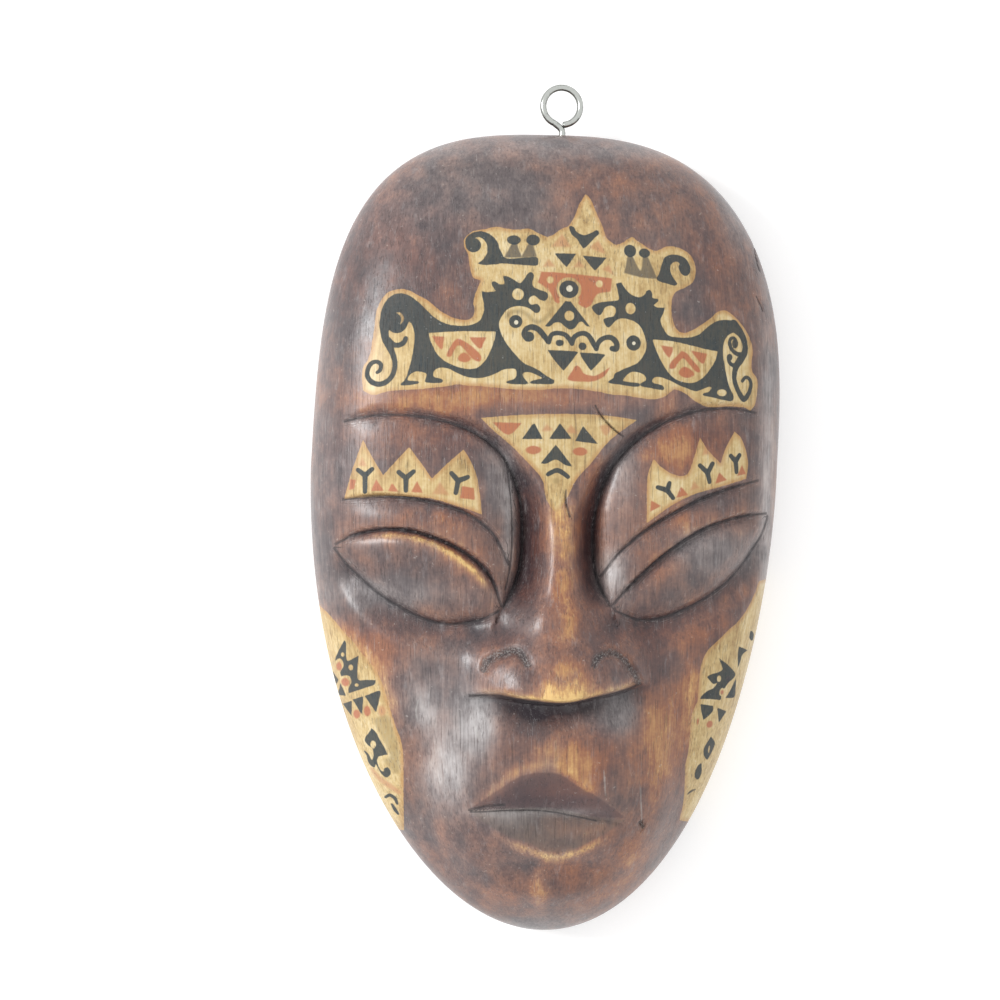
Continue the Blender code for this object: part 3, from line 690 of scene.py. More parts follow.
            (748, 461.5), (746, 478.8), (746, 478.8), (721, 486.5), (694, 494.2), (671, 505.8),
        ),
    ),
    **areas(
        "black", PHOTO,
        brow_tooth_a=((534, 422), (534, 422), (543, 439), (543, 439), (522, 439), (522, 439)),
        brow_tooth_b=((560, 423), (560, 423), (572, 439), (572, 439), (549, 439), (549, 439)),
        brow_tooth_c=((583, 426), (583, 426), (598, 444), (598, 444), (575, 441), (575, 441)),
        brow_tent=(
            (555.8, 444.5), (555.8, 444.5), (573, 466.8), (573, 466.8), (565, 465), (555.8, 459.6),
            (547, 463.5), (540.4, 463.5), (540.4, 463.5),
        ),
    ),
    **areas(
        "red", PHOTO,
        brow_red_a=((492, 422), (492, 422), (522, 423), (522, 423), (508, 435)),
    ),
    **areas(
        "faded", PHOTO,
        brow_red_d=((547, 424), (547, 424), (552, 430), (542, 431)),
        brow_red_e=((571, 425), (571, 425), (577, 433), (567, 432)),
        brow_red_f=((600, 426), (612, 426), (606, 436)),
    ),
    **areas(
        "bare", CHEEK_LEFT,
        left_cheek=(
            (55, 20), (55, 20), (90, 60), (140, 110), (190, 170), (240, 230), (290, 280), (340, 350),
            (395, 410), (440, 470), (480, 540), (505, 610), (530, 690), (560, 790), (590, 880), (620, 960),
            (635, 1060), (637, 1160), (637, 1260), (637, 1400), (640, 1568), (640, 1568), (400, 1568),
            (0, 1200), (-200, 600), (-100, 100),
        ),
    ),
    **areas(
        "bare", CHEEK_RIGHT,
        right_cheek=(
            (655, -60), (655, -60), (610, 60), (562, 150), (505, 222), (450, 270), (400, 320), (350, 370),
            (300, 420), (265, 500), (250, 580), (240, 690), (235, 760), (200, 840), (190, 930),
            (180, 1040), (170, 1120), (152, 1200), (150, 1290), (145, 1380), (135, 1480), (110, 1568),
            (110, 1568), (400, 1568), (700, 1000), (900, 400), (900, -60),
        ),
    ),
    # The upper lip, darkened by stain and painted shade.
    **areas(
        "lip_dark", PHOTO,
        upper_lip=(
            (469, 809), (469, 809), (490.5, 795.5), (515.5, 779), (535, 773), (552, 773), (563, 776),
            (579, 787), (599, 798), (626, 818), (626, 818), (593, 816), (565.5, 810), (543, 807.5),
            (515.6, 808.5), (488, 810),
        ),
    ),
    **areas(
        "lip_olive", PHOTO,
        lower_lip=(
            (469, 810), (469, 810), (488, 809.5), (515.6, 808.5), (543, 808), (565.5, 810.5), (593, 817),
            (625, 820), (625, 820), (604, 834), (582, 846), (565.5, 852.5), (543, 851), (532, 844),
            (510, 837), (485, 823),
        ),
    ),
    **areas(
        "black", CHEEK_LEFT,
        left_cheek_steps=(
            (235, 270), (235, 270), (247, 300), (246, 350), (253, 413), (300, 395), (333, 376), (333, 376),
            (326, 430), (323, 500), (332, 545), (380, 545), (447, 545), (447, 545), (440, 577), (380, 598),
            (320, 618), (263, 637), (263, 637), (263, 600), (282, 560), (268, 520), (235, 515), (214, 520),
            (206, 490), (228, 450), (215, 405), (188, 402), (165, 430), (165, 430), (185, 365),
        ),
        left_cheek_edge_a=((112, 425), (112, 425), (195, 545), (195, 545), (165, 580), (135, 510)),
        left_cheek_edge_b=((208, 565), (208, 565), (245, 652), (245, 652), (185, 640), (185, 640)),
        left_cheek_tooth_a=((222, 705), (222, 705), (286, 684), (286, 684), (283, 792), (283, 792)),
        left_cheek_tooth_b=((290, 678), (290, 678), (363, 655), (363, 655), (356, 787), (356, 787)),
        left_cheek_tooth_c=((372, 655), (372, 655), (470, 618), (476, 660), (450, 768), (450, 768)),
        left_cheek_pierced=(
            (418, 873), (418, 873), (448, 900), (480, 960), (510, 1010), (530, 1055), (530, 1055),
            (500, 1060), (466, 1070), (458, 1100), (465, 1130), (483, 1160), (503, 1170), (505, 1150),
            (530, 1140), (550, 1165), (545, 1195), (520, 1210), (490, 1190), (465, 1152), (450, 1120),
            (440, 1140), (415, 1130), (395, 1100), (385, 1060), (366, 1028), (385, 1035), (405, 1060),
            (422, 1092), (432, 1060), (425, 1015), (395, 990), (373, 960), (380, 930), (400, 905),
        ),
    ),
    **areas(
        "olive", CHEEK_LEFT,
        left_cheek_olive=(
            (440, 812), (530, 788), (570, 900), (600, 1000), (610, 1150), (585, 1180), (500, 1095),
            (545, 1062), (500, 960), (450, 860),
        ),
    ),
    **areas(
        "black", CHEEK_RIGHT,
        right_cheek_steps=(
            (378, 460), (378, 460), (430, 500), (472, 540), (494, 572), (480, 602), (440, 640), (418, 680),
            (402, 710), (395, 752), (395, 752), (330, 745), (253, 743), (253, 743), (265, 722), (300, 690),
            (342, 670), (368, 635), (345, 642), (315, 612), (302, 590), (330, 575), (380, 560), (405, 543),
            (398, 510),
        ),
        right_cheek_edge_a=(
            (517, 383), (517, 383), (577, 410), (577, 410), (542, 442), (530, 480), (511, 533), (511, 533),
            (510, 450),
        ),
        right_cheek_edge_b=(
            (500, 590), (500, 590), (497, 650), (490, 722), (468, 737), (427, 735), (427, 735), (455, 690),
            (480, 640),
        ),
        right_cheek_edge_c=((598, 278), (620, 300), (612, 345), (590, 330)),
        right_cheek_tooth_a=(
            (255, 777), (255, 777), (343, 790), (343, 790), (338, 830), (276, 888), (276, 888), (262, 830),
        ),
        right_cheek_tooth_b=((370, 800), (370, 800), (432, 828), (432, 828), (380, 908), (380, 908)),
        right_cheek_pierced=(
            (327, 997), (327, 997), (354, 1040), (346, 1075), (325, 1120), (302, 1157), (280, 1130),
            (277, 1090), (290, 1058), (308, 1028),
        ),
        right_cheek_drop=(
            (263, 1178), (263, 1178), (264, 1240), (242, 1292), (217, 1275), (222, 1230), (240, 1195),
        ),
    ),
}
STROKES = {
    "left_tail": Stroke(
        "black",
        on(CROWN_LEFT, (215, 1010), (225, 1100), (250, 1160), (280, 1220), (298, 1290), (292, 1350),
           (265, 1405), (220, 1440), (170, 1450), (120, 1430), (92, 1385), (98, 1330), (125, 1292),
           (165, 1283), (192, 1303), (188, 1345), (165, 1362)),
        brush(CROWN_LEFT, 66, 54, 48, 42, 36, 36, 36, 38, 38, 38, 34, 32, 32, 30, 30, 28, 24),
    ),
    "left_tail_hook": Stroke(
        "black", on(CROWN_LEFT, (245, 1120), (290, 1155), (330, 1158), (362, 1140), (378, 1108)),
        brush(CROWN_LEFT, 46, 36, 36, 36, 34),
    ),
    "left_chin_line": Stroke(
        "olive",
        on(CROWN_LEFT, (1128, 950), (1160, 915), (1225, 903), (1280, 925), (1320, 965), (1370, 985),
           (1420, 960), (1460, 910), (1476, 885)),
        brush(CROWN_LEFT, 18, 26, 30, 30, 30, 30, 28, 28, 24),
    ),
    "left_curl": Stroke(
        "black",
        on(CROWN_LEFT, (1290, 1102), (1262, 1075), (1280, 1038), (1322, 1022), (1368, 1040), (1408, 1082),
           (1440, 1130)),
        brush(CROWN_LEFT, 60, 40, 36, 40, 42, 42, 38),
    ),
    "left_crest_hook": Stroke(
        "black",
        on(CROWN_LEFT, (880, 412), (862, 405), (846, 382), (870, 345), (930, 330), (985, 352), (1025, 400),
           (1035, 450), (1050, 500)),
        brush(CROWN_LEFT, 90, 80, 44, 38, 44, 60, 78, 90, 110),
    ),
    "right_tail": Stroke(
        "black",
        on(CROWN_RIGHT, (1320, 925), (1372, 985), (1397, 1050), (1395, 1110), (1365, 1160), (1335, 1210),
           (1325, 1280), (1340, 1345), (1368, 1400), (1390, 1428), (1418, 1395), (1437, 1340),
           (1430, 1292), (1402, 1276), (1380, 1302)),
        brush(CROWN_RIGHT, 80, 52, 42, 46, 52, 42, 34, 34, 36, 36, 32, 28, 26, 24, 24),
    ),
    "right_curl_a": Stroke(
        "black",
        on(CROWN_RIGHT, (1385, 1125), (1345, 1118), (1308, 1088), (1292, 1045), (1302, 1012), (1328, 1012),
           (1342, 1040)),
        brush(CROWN_RIGHT, 40, 30, 28, 26, 22, 20, 20),
    ),
    "right_curl_b": Stroke(
        "black", on(CROWN_RIGHT, (1350, 1185), (1318, 1195), (1292, 1175), (1283, 1145)),
        brush(CROWN_RIGHT, 36, 28, 26, 24),
    ),
    "middle_wave": Stroke(
        "black",
        on(CROWN_RIGHT, (62, 1035), (80, 985), (130, 975), (180, 992), (218, 1045), (218, 1045),
           (236, 1000), (285, 976), (330, 992), (362, 1042), (384, 1082), (384, 1082), (398, 1040),
           (440, 1007), (490, 1008), (522, 1045), (520, 1082), (492, 1080)),
        brush(CROWN_RIGHT, 30, 30, 30, 32, 34, 34, 32, 32, 34, 36, 34, 34, 32, 32, 36, 38, 40, 36),
    ),
    "middle_wave_left": Stroke(
        "black", on(CROWN_RIGHT, (60, 1035), (28, 998), (-5, 955), (-60, 935), (-95, 945)),
        brush(CROWN_RIGHT, 34, 36, 36, 34, 32),
    ),
    "brow_smile": Stroke(
        "black", on(PHOTO, (548, 474.2), (557.7, 470.4), (568, 476.9)),
        (2.1, 2.4, 2.1),
    ),
    "left_cheek_streak": Stroke(
        "faded", on(CHEEK_LEFT, (420, 1150), (470, 1212), (535, 1262), (605, 1310)),
        (1.6, 2.4, 2.8, 2.2),
    ),
    "left_cheek_hook_a": Stroke(
        "black", on(CHEEK_LEFT, (513, 1345), (545, 1330), (580, 1355), (595, 1390)),
        (1.2, 1.8, 1.8, 1.2),
    ),
    "left_cheek_hook_b": Stroke(
        "black", on(CHEEK_LEFT, (558, 1392), (580, 1430), (600, 1458)),
        (1.2, 1.8, 1.3),
    ),
    "right_cheek_hook": Stroke(
        "black", on(CHEEK_RIGHT, (222, 1360), (192, 1372), (168, 1392)),
        (1.0, 1.3, 1.0),
    ),
}
DOTS = {
    "left_beast_eye": Dot("gap", on(CROWN_LEFT, (1218, 778)), (5.5, 5.5)),
    "left_beast_pupil": Dot("olive", on(CROWN_LEFT, (1216, 776)), (1.8, 1.8)),
    "left_ring": Dot("over", on(CROWN_LEFT, (1200, 982)), (6.4, 6.3)),
    "left_ring_dot": Dot("white", on(CROWN_LEFT, (1204, 988)), (2.1, 2.1)),
    "left_curl_head": Dot("black", on(CROWN_LEFT, (1298, 1095)), (5.2, 5.0)),
    "left_crest_head": Dot("black", on(CROWN_LEFT, (884, 412)), (7.4, 7.0)),
    "left_crest_ball_a": Dot("black", on(CROWN_LEFT, (1186, 373)), (6.6, 4.7)),
    "left_crest_ball_b": Dot("black", on(CROWN_LEFT, (1330, 373)), (6.7, 5.4)),
    "right_curl_a_head": Dot("black", on(CROWN_RIGHT, (1330, 1048)), (3.4, 4.6)),
    "right_curl_b_head": Dot("black", on(CROWN_RIGHT, (1293, 1140)), (3.2, 3.4)),
    "right_hind_gap": Dot("gap", on(CROWN_RIGHT, (1240, 1382)), (5.2, 3.3)),
    "right_beast_eye": Dot("gap", on(CROWN_RIGHT, (617, 808)), (4.9, 5.3)),
    "right_ring": Dot("over", on(CROWN_RIGHT, (638, 1043)), (7.2, 7.4)),
    "right_ring_dot": Dot("white", on(CROWN_RIGHT, (640, 1045)), (1.7, 1.7)),
    "middle_ring_halo": Dot("cleared", on(CROWN_RIGHT, (197, 677)), (11.9, 11.7)),
    "middle_ring": Dot("over", on(CROWN_RIGHT, (197, 677)), (9.4, 8.6)),
    "middle_ring_hole": Dot("white", on(CROWN_RIGHT, (201, 672)), (2.9, 3.2)),
    "middle_tent_hole": Dot("gap", on(CROWN_RIGHT, (200, 857)), (4.7, 4.7)),
    "middle_wave_dot_a": Dot("black", on(CROWN_RIGHT, (135, 1042)), (4.0, 3.2)),
    "middle_wave_dot_b": Dot("black", on(CROWN_RIGHT, (290, 1065)), (3.9, 3.7)),
    "sash_dot_a": Dot("cleared", on(CROWN_RIGHT, (70, 612)), (3.4, 3.4)),
    "sash_dot_b": Dot("cleared", on(CROWN_RIGHT, (405, 640)), (3.4, 3.4)),
    "right_crest_ball_a": Dot("black", on(CROWN_RIGHT, (614, 415)), (6.0, 6.2)),
    "right_crest_ball_b": Dot("black", on(CROWN_RIGHT, (712, 430)), (5.6, 4.6)),
    "brow_olive": Dot("olive", on(PHOTO, (556.5, 481.0)), (3.2, 2.6)),
    "brow_red_b": Dot("red", on(PHOTO, (533.5, 450.0)), (7.5, 4.0)),
    "brow_red_c": Dot("red", on(PHOTO, (580.0, 451.5)), (7.0, 4.0)),
    "left_cheek_hole_a": Dot("gap", on(CHEEK_LEFT, (222, 372)), (1.5, 2.2)),
    "left_cheek_hole_b": Dot("gap", on(CHEEK_LEFT, (278, 460)), (2.1, 2.9)),
    "left_cheek_hole_c": Dot("gap", on(CHEEK_LEFT, (318, 580)), (1.8, 1.6)),
    "left_cheek_red_a": Dot("red", on(CHEEK_LEFT, (198, 452)), (2.6, 4.4)),
    "left_cheek_red_b": Dot("red", on(CHEEK_LEFT, (240, 560)), (3.6, 4.2)),
    "left_cheek_red_c": Dot("red", on(CHEEK_LEFT, (318, 778)), (3.2, 4.6)),
    "left_cheek_red_d": Dot("red", on(CHEEK_LEFT, (390, 758)), (3.2, 5.2)),
    "left_cheek_red_e": Dot("faded", on(CHEEK_LEFT, (490, 755)), (3.6, 5.2)),
    "left_cheek_pierced_hole": Dot("gap", on(CHEEK_LEFT, (430, 985)), (2.5, 4.0)),
    "right_cheek_red_a": Dot("red", on(CHEEK_RIGHT, (443, 612)), (2.6, 3.6)),
    "right_cheek_hole_b": Dot("gap", on(CHEEK_RIGHT, (403, 697)), (3.2, 4.0)),
    "right_cheek_red_b": Dot("red", on(CHEEK_RIGHT, (403, 697)), (1.9, 2.4)),
    "right_cheek_hole_a": Dot("gap", on(CHEEK_RIGHT, (382, 605)), (2.3, 3.2)),
    "right_cheek_red_c": Dot("red", on(CHEEK_RIGHT, (318, 915)), (3.6, 3.6)),
    "right_cheek_red_d": Dot("red", on(CHEEK_RIGHT, (237, 897)), (1.2, 3.4)),
    "right_cheek_pierced_hole": Dot("gap", on(CHEEK_RIGHT, (314, 1086)), (1.2, 3.2)),
}

# Whitish scratches through the lacquer: half widths in pixels.
SCRATCHES = (
    Stroke("graze", ((640.5, 786), (641, 800), (641.5, 812), (641.8, 821)), (0.3, 0.6, 0.7, 0.4)),
    Stroke("graze", ((604, 770), (604.6, 780), (605.2, 790), (606, 797)), (0.3, 0.9, 0.6, 0.3)),
    Stroke("graze", ((473, 720), (476, 730), (479, 741)), (0.5, 1.2, 0.5)),
    Stroke("graze", ((418, 700), (416, 712), (418, 722)), (0.4, 0.8, 0.4)),
)

# Small forks in the zigzag bands over the eyes: the junction, the tips of the two arms, and the foot.
FORKS = (
    ((365, 475.4), (358, 470), (372.2, 468.9), (365, 491.7)),
    ((405.9, 478), (398.7, 472.1), (413.5, 471.5), (405.9, 490.6)),
    ((458, 480.8), (451.5, 473.2), (467.8, 477.1), (455.9, 492.8)),
    ((667.3, 490.4), (657.7, 487.3), (669.5, 483), (673, 498)),
    ((707.7, 473), (700, 465.4), (712.7, 463.5), (709.6, 482)),
    ((735.8, 461.5), (730.8, 455.8), (739.6, 455), (736.5, 472)),
)
FORK_HALF_WIDTHS = (2.2, 2.6, 2.6, 2.2)

# Dabs of colour between the forks: kind and outline, each spot a corner that the brush rounded a little.
DABS = (
    ("red", (350, 479), (356, 480), (354, 489), (349, 490)),
    ("red", (371, 491), (376, 479), (384, 491)),
    ("red", (388, 491), (392, 483), (399, 492)),
    ("red", (411, 492), (417, 481), (423, 493)),
    ("faded", (432, 494), (440, 482), (449, 495)),
    ("red", (460, 498), (462, 486), (474, 488), (475, 500)),
    ("faded", (358, 466), (362, 457), (367, 466)),
    ("olive", (405, 467), (408, 459), (411, 467)),
    ("olive", (458, 469), (462, 461), (466, 469)),
    ("red", (650, 512), (651, 500), (661, 506)),
    ("red", (676, 498), (681, 486), (688, 495)),
    ("faded", (690, 491), (694, 481), (700, 488)),
    ("red", (715, 484), (719, 472), (727, 480)),
    ("red", (737, 476), (742, 465), (746, 474)),
    ("faded", (702, 455), (705, 446), (709, 454)),
)

# Cracks, pits, nostril grooves and knife lines through pixels of the photograph: depth and half width in
# metres.
Cut = namedtuple("Cut", "spots depth half_width")
CUTS = (
    Cut(((595, 404), (599, 412), (606, 421), (615, 430), (624, 437)), 0.0008, 0.00035),
    Cut(((754, 238), (755, 250), (757, 262), (760, 272)), 0.0007, 0.0003),
    Cut(((756, 296), (760, 304), (763, 312)), 0.0005, 0.0003),
    Cut(((640, 821), (642, 825), (644, 828)), 0.0012, 0.0008),
    Cut(((566, 490), (566, 500), (568, 510), (571, 519)), 0.0005, 0.0004),
    Cut(((468, 811), (480, 808), (492, 806), (506, 805)), 0.0005, 0.0006),
    Cut(
        ((483, 673), (487, 663), (495, 657), (504, 653.5), (513, 651), (519, 652), (525, 659), (529, 668)),
        0.0011, 0.0013,
    ),
    Cut(
        ((593, 669), (597, 660), (605, 654.5), (614, 653.5), (624, 660), (632, 671), (640, 685)),
        0.0010, 0.0011,
    ),
    Cut(((506, 461), (510, 492), (512, 526), (511, 560), (505, 592)), 0.0003, 0.0003),
)

# Wear: golden strips along crests, through pixels of the photograph, with a half width in pixels and a
# strength.
Strip = namedtuple("Strip", "spots half_width strength")
STRIPS = (
    Strip(((562, 834), (588, 832), (612, 826)), 6, 0.4),
    Strip(((560, 500), (562, 530), (564, 566)), 12, 1.0),
    Strip(((564, 560), (567, 610), (571, 650)), 10, 0.7),
    Strip(((538, 688), (552, 690), (566, 691), (580, 689), (594, 686)), 10, 1.0),
    Strip(((484, 694), (510, 697), (540, 699)), 3, 0.6),
    Strip(((592, 692), (615, 688), (638, 686)), 4, 0.5),
    Strip(((548, 674), (566, 672), (586, 672)), 12, 0.7),
    Strip(
        ((473, 806), (493, 791), (516, 773), (538, 766), (557, 764), (571, 771), (585, 784), (603, 797)),
        6.5, 0.65,
    ),
    Strip(((530, 758), (552, 750), (574, 756), (592, 772)), 14, 0.55),
    Strip(((500, 838), (520, 847), (540, 855), (560, 857), (582, 851), (606, 837)), 4.5, 0.9),
    Strip(((544, 856), (560, 857), (576, 854)), 6, 1.0),
    Strip(((372, 535), (396, 535), (420, 539), (444, 549), (462, 561), (478, 575), (492, 593)), 4, 1.0),
    Strip(((385, 520), (425, 519), (462, 528)), 8, 0.25),
    Strip(((539, 864), (539, 890), (539, 915)), 8, 0.5),
    Strip(((656, 704), (660, 740), (650, 790)), 20, 0.4),
    Strip(((326, 612), (350, 638), (370, 662), (384, 690), (394, 720)), 9, 0.85),
    Strip(((694, 668), (690, 700), (687, 736)), 8, 0.5),
    Strip(((400, 403), (440, 398), (486, 394)), 8, 0.15),
    Strip(((658, 452), (676, 449), (692, 454)), 12, 0.5),
)

# Stain and sheen: soft patches in pixels of the photograph, each lighter above zero or darker below, warmer
# above zero or cooler below, and with so much grey sheen, partly worn lacquer and partly painted highlight.
Patch = namedtuple("Patch", "centre radii tone warmth veil")
PATCHES = (
    Patch((728, 632), (26, 44), -0.14, 0.1, 0.0),
    Patch((700, 438), (40, 14), -0.06, 0.5, 0.0),
    Patch((400, 322), (20, 22), -0.38, 0.0, 0.0),
    Patch((650, 625), (40, 16), -0.08, 0.1, 0.0),
    # A thin painted highlight between the lips.
    Patch((505, 813), (28, 3.5), 0.12, -0.4, 0.7),
    Patch((562, 812), (26, 3.5), 0.08, -0.3, 0.5),
    Patch((535, 801), (56, 5), -0.22, -0.2, 0.0),
    Patch((500, 826), (26, 9), -0.12, -0.1, 0.1),
    Patch((588, 772), (22, 24), 0.06, 0.8, 0.0),
    Patch((620, 710), (14, 18), 0.10, -0.6, 0.4),
    Patch((546, 708), (50, 8), -0.16, -0.5, 0.0),
    Patch((385, 255), (50, 40), -0.30, 0.1, 0.0),
    Patch((345, 340), (36, 100), -0.10, -0.1, 0.0),
    Patch((336, 470), (18, 50), -0.10, 0.2, 0.0),
    Patch((509, 520), (5, 42), 0.10, -0.6, 0.8),
    Patch((562, 560), (14, 60), -0.06, 0.0, 0.0),
    Patch((430, 200), (48, 30), -0.08, -0.25, 0.1),
    Patch((735, 222), (16, 30), -0.08, -0.5, 0.3),
    Patch((425, 436), (64, 18), 0.08, 0.7, 0.0),
    Patch((380, 620), (30, 24), -0.12, -0.4, 0.0),
    Patch((485, 630), (18, 16), -0.22, -0.4, 0.0),
    Patch((345, 690), (34, 60), -0.18, 0.0, 0.1),
    Patch((548, 794), (34, 10), -0.10, 0.3, 0.0),
    Patch((505, 818), (22, 7), 0.12, -0.2, 0.3),
    Patch((575, 826), (24, 10), 0.08, 0.4, 0.0),
    Patch((390, 235), (42, 55), -0.06, 0.40, 0.1),
    Patch((505, 195), (70, 34), -0.12, -0.35, 0.1),
    Patch((655, 190), (50, 36), -0.04, 0.25, 0.0),
    Patch((540, 148), (170, 12), 0.0, -0.1, 0.3),
    Patch((440, 305), (40, 26), -0.16, -0.2, 0.0),
    Patch((712, 265), (34, 50), -0.10, 0.3, 0.0),
    Patch((445, 397), (95, 13), 0.28, 1.0, 0.0),
    Patch((610, 398), (90, 12), 0.08, 0.65, 0.12),
    Patch((465, 452), (34, 24), -0.16, 0.15, 0.1),
    Patch((500, 476), (12, 30), 0.05, -0.5, 0.4),
    Patch((345, 470), (10, 36), -0.05, 0.0, 0.2),
    Patch((680, 454), (34, 18), 0.1, 0.9, 0.0),
    Patch((622, 478), (12, 34), 0.0, -0.2, 0.35),
    # Beside the nose's bridge: painted glints.
    Patch((613, 574), (11, 20), 0.15, -0.6, 1.2),
    Patch((532, 520), (12, 70), -0.22, 0.1, 0.0),
    Patch((590, 510), (8, 60), -0.08, 0.6, 0.0),
    Patch((425, 520), (46, 10), -0.12, 0.3, 0.0),
    Patch((405, 575), (52, 18), -0.1, -0.1, 0.0),
    Patch((385, 592), (46, 12), 0.05, -0.5, 0.35),
    Patch((470, 596), (26, 10), -0.08, -0.3, 0.1),
    Patch((655, 566), (34, 20), 0.08, 0.7, 0.0),
    Patch((718, 552), (36, 22), 0.0, -0.5, 0.35),
    Patch((700, 520), (44, 12), 0.06, 0.6, 0.0),
    Patch((560, 580), (40, 80), 0.0, 0.5, 0.0),
    Patch((600, 640), (18, 40), -0.12, 0.4, 0.0),
    Patch((645, 655), (26, 34), -0.16, 0.35, 0.0),
    Patch((700, 632), (32, 22), 0.04, 0.7, 0.0),
    Patch((400, 636), (50, 18), 0.06, 0.7, 0.0),
    Patch((510, 670), (28, 22), -0.05, 0.4, 0.0),
    Patch((430, 690), (30, 30), -0.06, 0.0, 0.25),
    # The muzzle's left flank: painted highlight, lighter and with strong sheen.
    Patch((477, 722), (14, 24), 0.2, -0.6, 1.9),
    Patch((447, 765), (17, 32), 0.18, -0.5, 1.5),
    Patch((425, 710), (11, 18), 0.15, -0.4, 0.8),
    Patch((550, 730), (50, 24), -0.08, 0.25, 0.0),
    Patch((606, 716), (26, 14), -0.12, -0.2, 0.25),
    Patch((606, 748), (18, 26), -0.18, 0.0, 0.0),
    Patch((655, 752), (30, 54), 0.08, 0.9, 0.0),
    Patch((452, 850), (40, 36), -0.08, 0.0, 0.1),
    Patch((540, 892), (44, 26), 0.05, 0.7, 0.0),
    Patch((616, 862), (34, 34), 0.05, 0.7, 0.0),
    Patch((540, 925), (60, 10), -0.05, -0.3, 0.25),
    Patch((584, 214), (11, 20), -0.22, 0.1, 0.0),
    Patch((558, 440), (42, 22), 0.16, 0.1, 0.0),
    Patch((366, 644), (24, 22), 0.10, 1.0, 0.0),
    Patch((688, 715), (12, 44), 0.06, 1.0, 0.0),
    Patch((322, 480), (13, 150), -0.04, -0.1, 0.15),
    # Along the right edge: painted sheen.
    Patch((767, 470), (8, 110), 0.0, -0.2, 1.0),
)


def smooth_step(share):
    """Ease from 0 to 1 as the share does."""
    share = np.clip(share, 0, 1)
    return share * share * (3 - 2 * share)


def eased(values, share):
    """Values at equal steps from 0 to 1, read at each share with an ease between them."""
    place = np.clip(share, 0, 1) * (len(values) - 1)
    step = np.minimum(place.astype(int), max(len(values) - 2, 0))
    values = np.array(values, float)
    following = values[np.minimum(step + 1, len(values) - 1)]
    return values[step] + (following - values[step]) * smooth_step(place - step)


def spot_place(spot):
    """Metres from the face's middle of a spot in hundredths of half the face's width and the half length."""
    return np.array((spot[0] * HALF_FACE, spot[1] * HALF_LENGTH)) / 100


def curve_between(knots, steps):
    """A smooth path from the second knot to the last but one, with a corner where a knot is given twice."""
    path = []
    for before, start, end, after in zip(knots, knots[1:], knots[2:], knots[3:]):
        if np.allclose(start, end):
            continue
        for t in np.arange(steps) / steps:
            bend = 2 * before - 5 * start + 4 * end - after
            turn = 3 * start - before - 3 * end + after
            path.append(start + ((end - before) * t + bend * t**2 + turn * t**3) / 2)
    path.append(knots[-2])
    return np.array(path)


def curve_through(spots):
    """A smooth path through a groove's spots, which runs on as it came at both ends."""
    known = [spot_place(spot) for spot in spots]
    return curve_between([2 * known[0] - known[1], *known, 2 * known[-1] - known[-2]], CURVE_STEPS)


def smooth_path(knots, steps=PAINT_STEPS, closed=False):
    """A smooth path through the knots, open or closed."""
    knots = list(np.array(knots, float))
    before, after = (knots[-1:], knots[:2]) if closed else (knots[:1], knots[-1:])
    return curve_between(before + knots + after, steps)


def nearest_on(path, places):
    """Distance from the path, share of its length at the nearest point, and +1 on its left or -1."""
    runs = np.diff(path, axis=0)
    lengths = np.hypot(runs[:, 0], runs[:, 1])
    starts = np.cumsum(lengths) - lengths
    distance = np.full(len(places), np.inf)
    along = np.zeros(len(places))
    side = np.ones(len(places))
    for corner, run, length, start in zip(path, runs, lengths, starts):
        offset = places - corner
        share = np.clip(offset @ run / length**2, 0, 1)
        reach = np.hypot(*(offset - share[:, None] * run).T)
        nearer = reach < distance
        distance[nearer] = reach[nearer]
        along[nearer] = (start + share * length)[nearer]
        side[nearer] = np.sign(run[0] * offset[:, 1] - run[1] * offset[:, 0])[nearer]
    return distance, along / lengths.sum(), side


def nearby(path, places, reach=PAINT_REACH):
    """Indices of the places around the path, with what nearest_on says of them."""
    low = path.min(axis=0) - reach
    high = path.max(axis=0) + reach
    near = np.flatnonzero(((places > low) & (places < high)).all(axis=1))
    return near, *nearest_on(path, places[near])


def path_length(path):
    """Length of a path."""
    return np.hypot(*np.diff(path, axis=0).T).sum()


def inside(path, places):
    """Whether each place lies inside the closed path."""
    found = np.zeros(len(places), bool)
    for start, end in zip(path, path[1:]):
        crossed = (start[1] > places[:, 1]) != (end[1] > places[:, 1])
        rise = end[1] - start[1]
        if rise:
            reach = start[0] + (places[:, 1] - start[1]) / rise * (end[0] - start[0])
            found ^= crossed & (places[:, 0] < reach)
    return found


def reach_beyond_widest(upper):
    """Distance from the widest line to the crown where upper is true, or to the chin."""
    return HALF_LENGTH - np.where(upper, 1, -1) * WIDEST_SHARE * HALF_LENGTH


def sway_at(y):
    """How far the outline's middle line lies to the side at each height."""
    rise = y - WIDEST_SHARE * HALF_LENGTH
    upper = rise >= 0
    turn = math.pi * np.clip(rise / reach_beyond_widest(upper), -1, 1)
    return (MIDDLE_SHIFT + np.where(upper, CROWN_SWAY, CHIN_SWAY) * np.sin(turn)) * HALF_LENGTH


def upright_gauge(x, rise):
    """Share of the way from the widest line's middle to the outline, leaving out the sway."""
    upper = rise >= 0
    across = np.abs(x) / HALF_WIDTH
    rise = np.abs(rise) / reach_beyond_widest(upper)
    across_power = np.where(upper, CROWN_ROUNDNESS[0], CHIN_ROUNDNESS[0])
    rise_power = np.where(upper, CROWN_ROUNDNESS[1], CHIN_ROUNDNESS[1])
    low, high = (np.full(np.shape(x), limit) for limit in GAUGE_LIMITS)
    for _ in range(HALVINGS):
        middle = (low + high) / 2
        outside = (across / middle) ** across_power + (rise / middle) ** rise_power > 1
        low = np.where(outside, middle, low)
        high = np.where(outside, high, middle)
    return (low + high) / 2


def outline_gauge(x, y):
    """How far out each place lies, as a share of the way from the widest line's middle to the outline."""
    return upright_gauge(x - sway_at(y), y - WIDEST_SHARE * HALF_LENGTH)


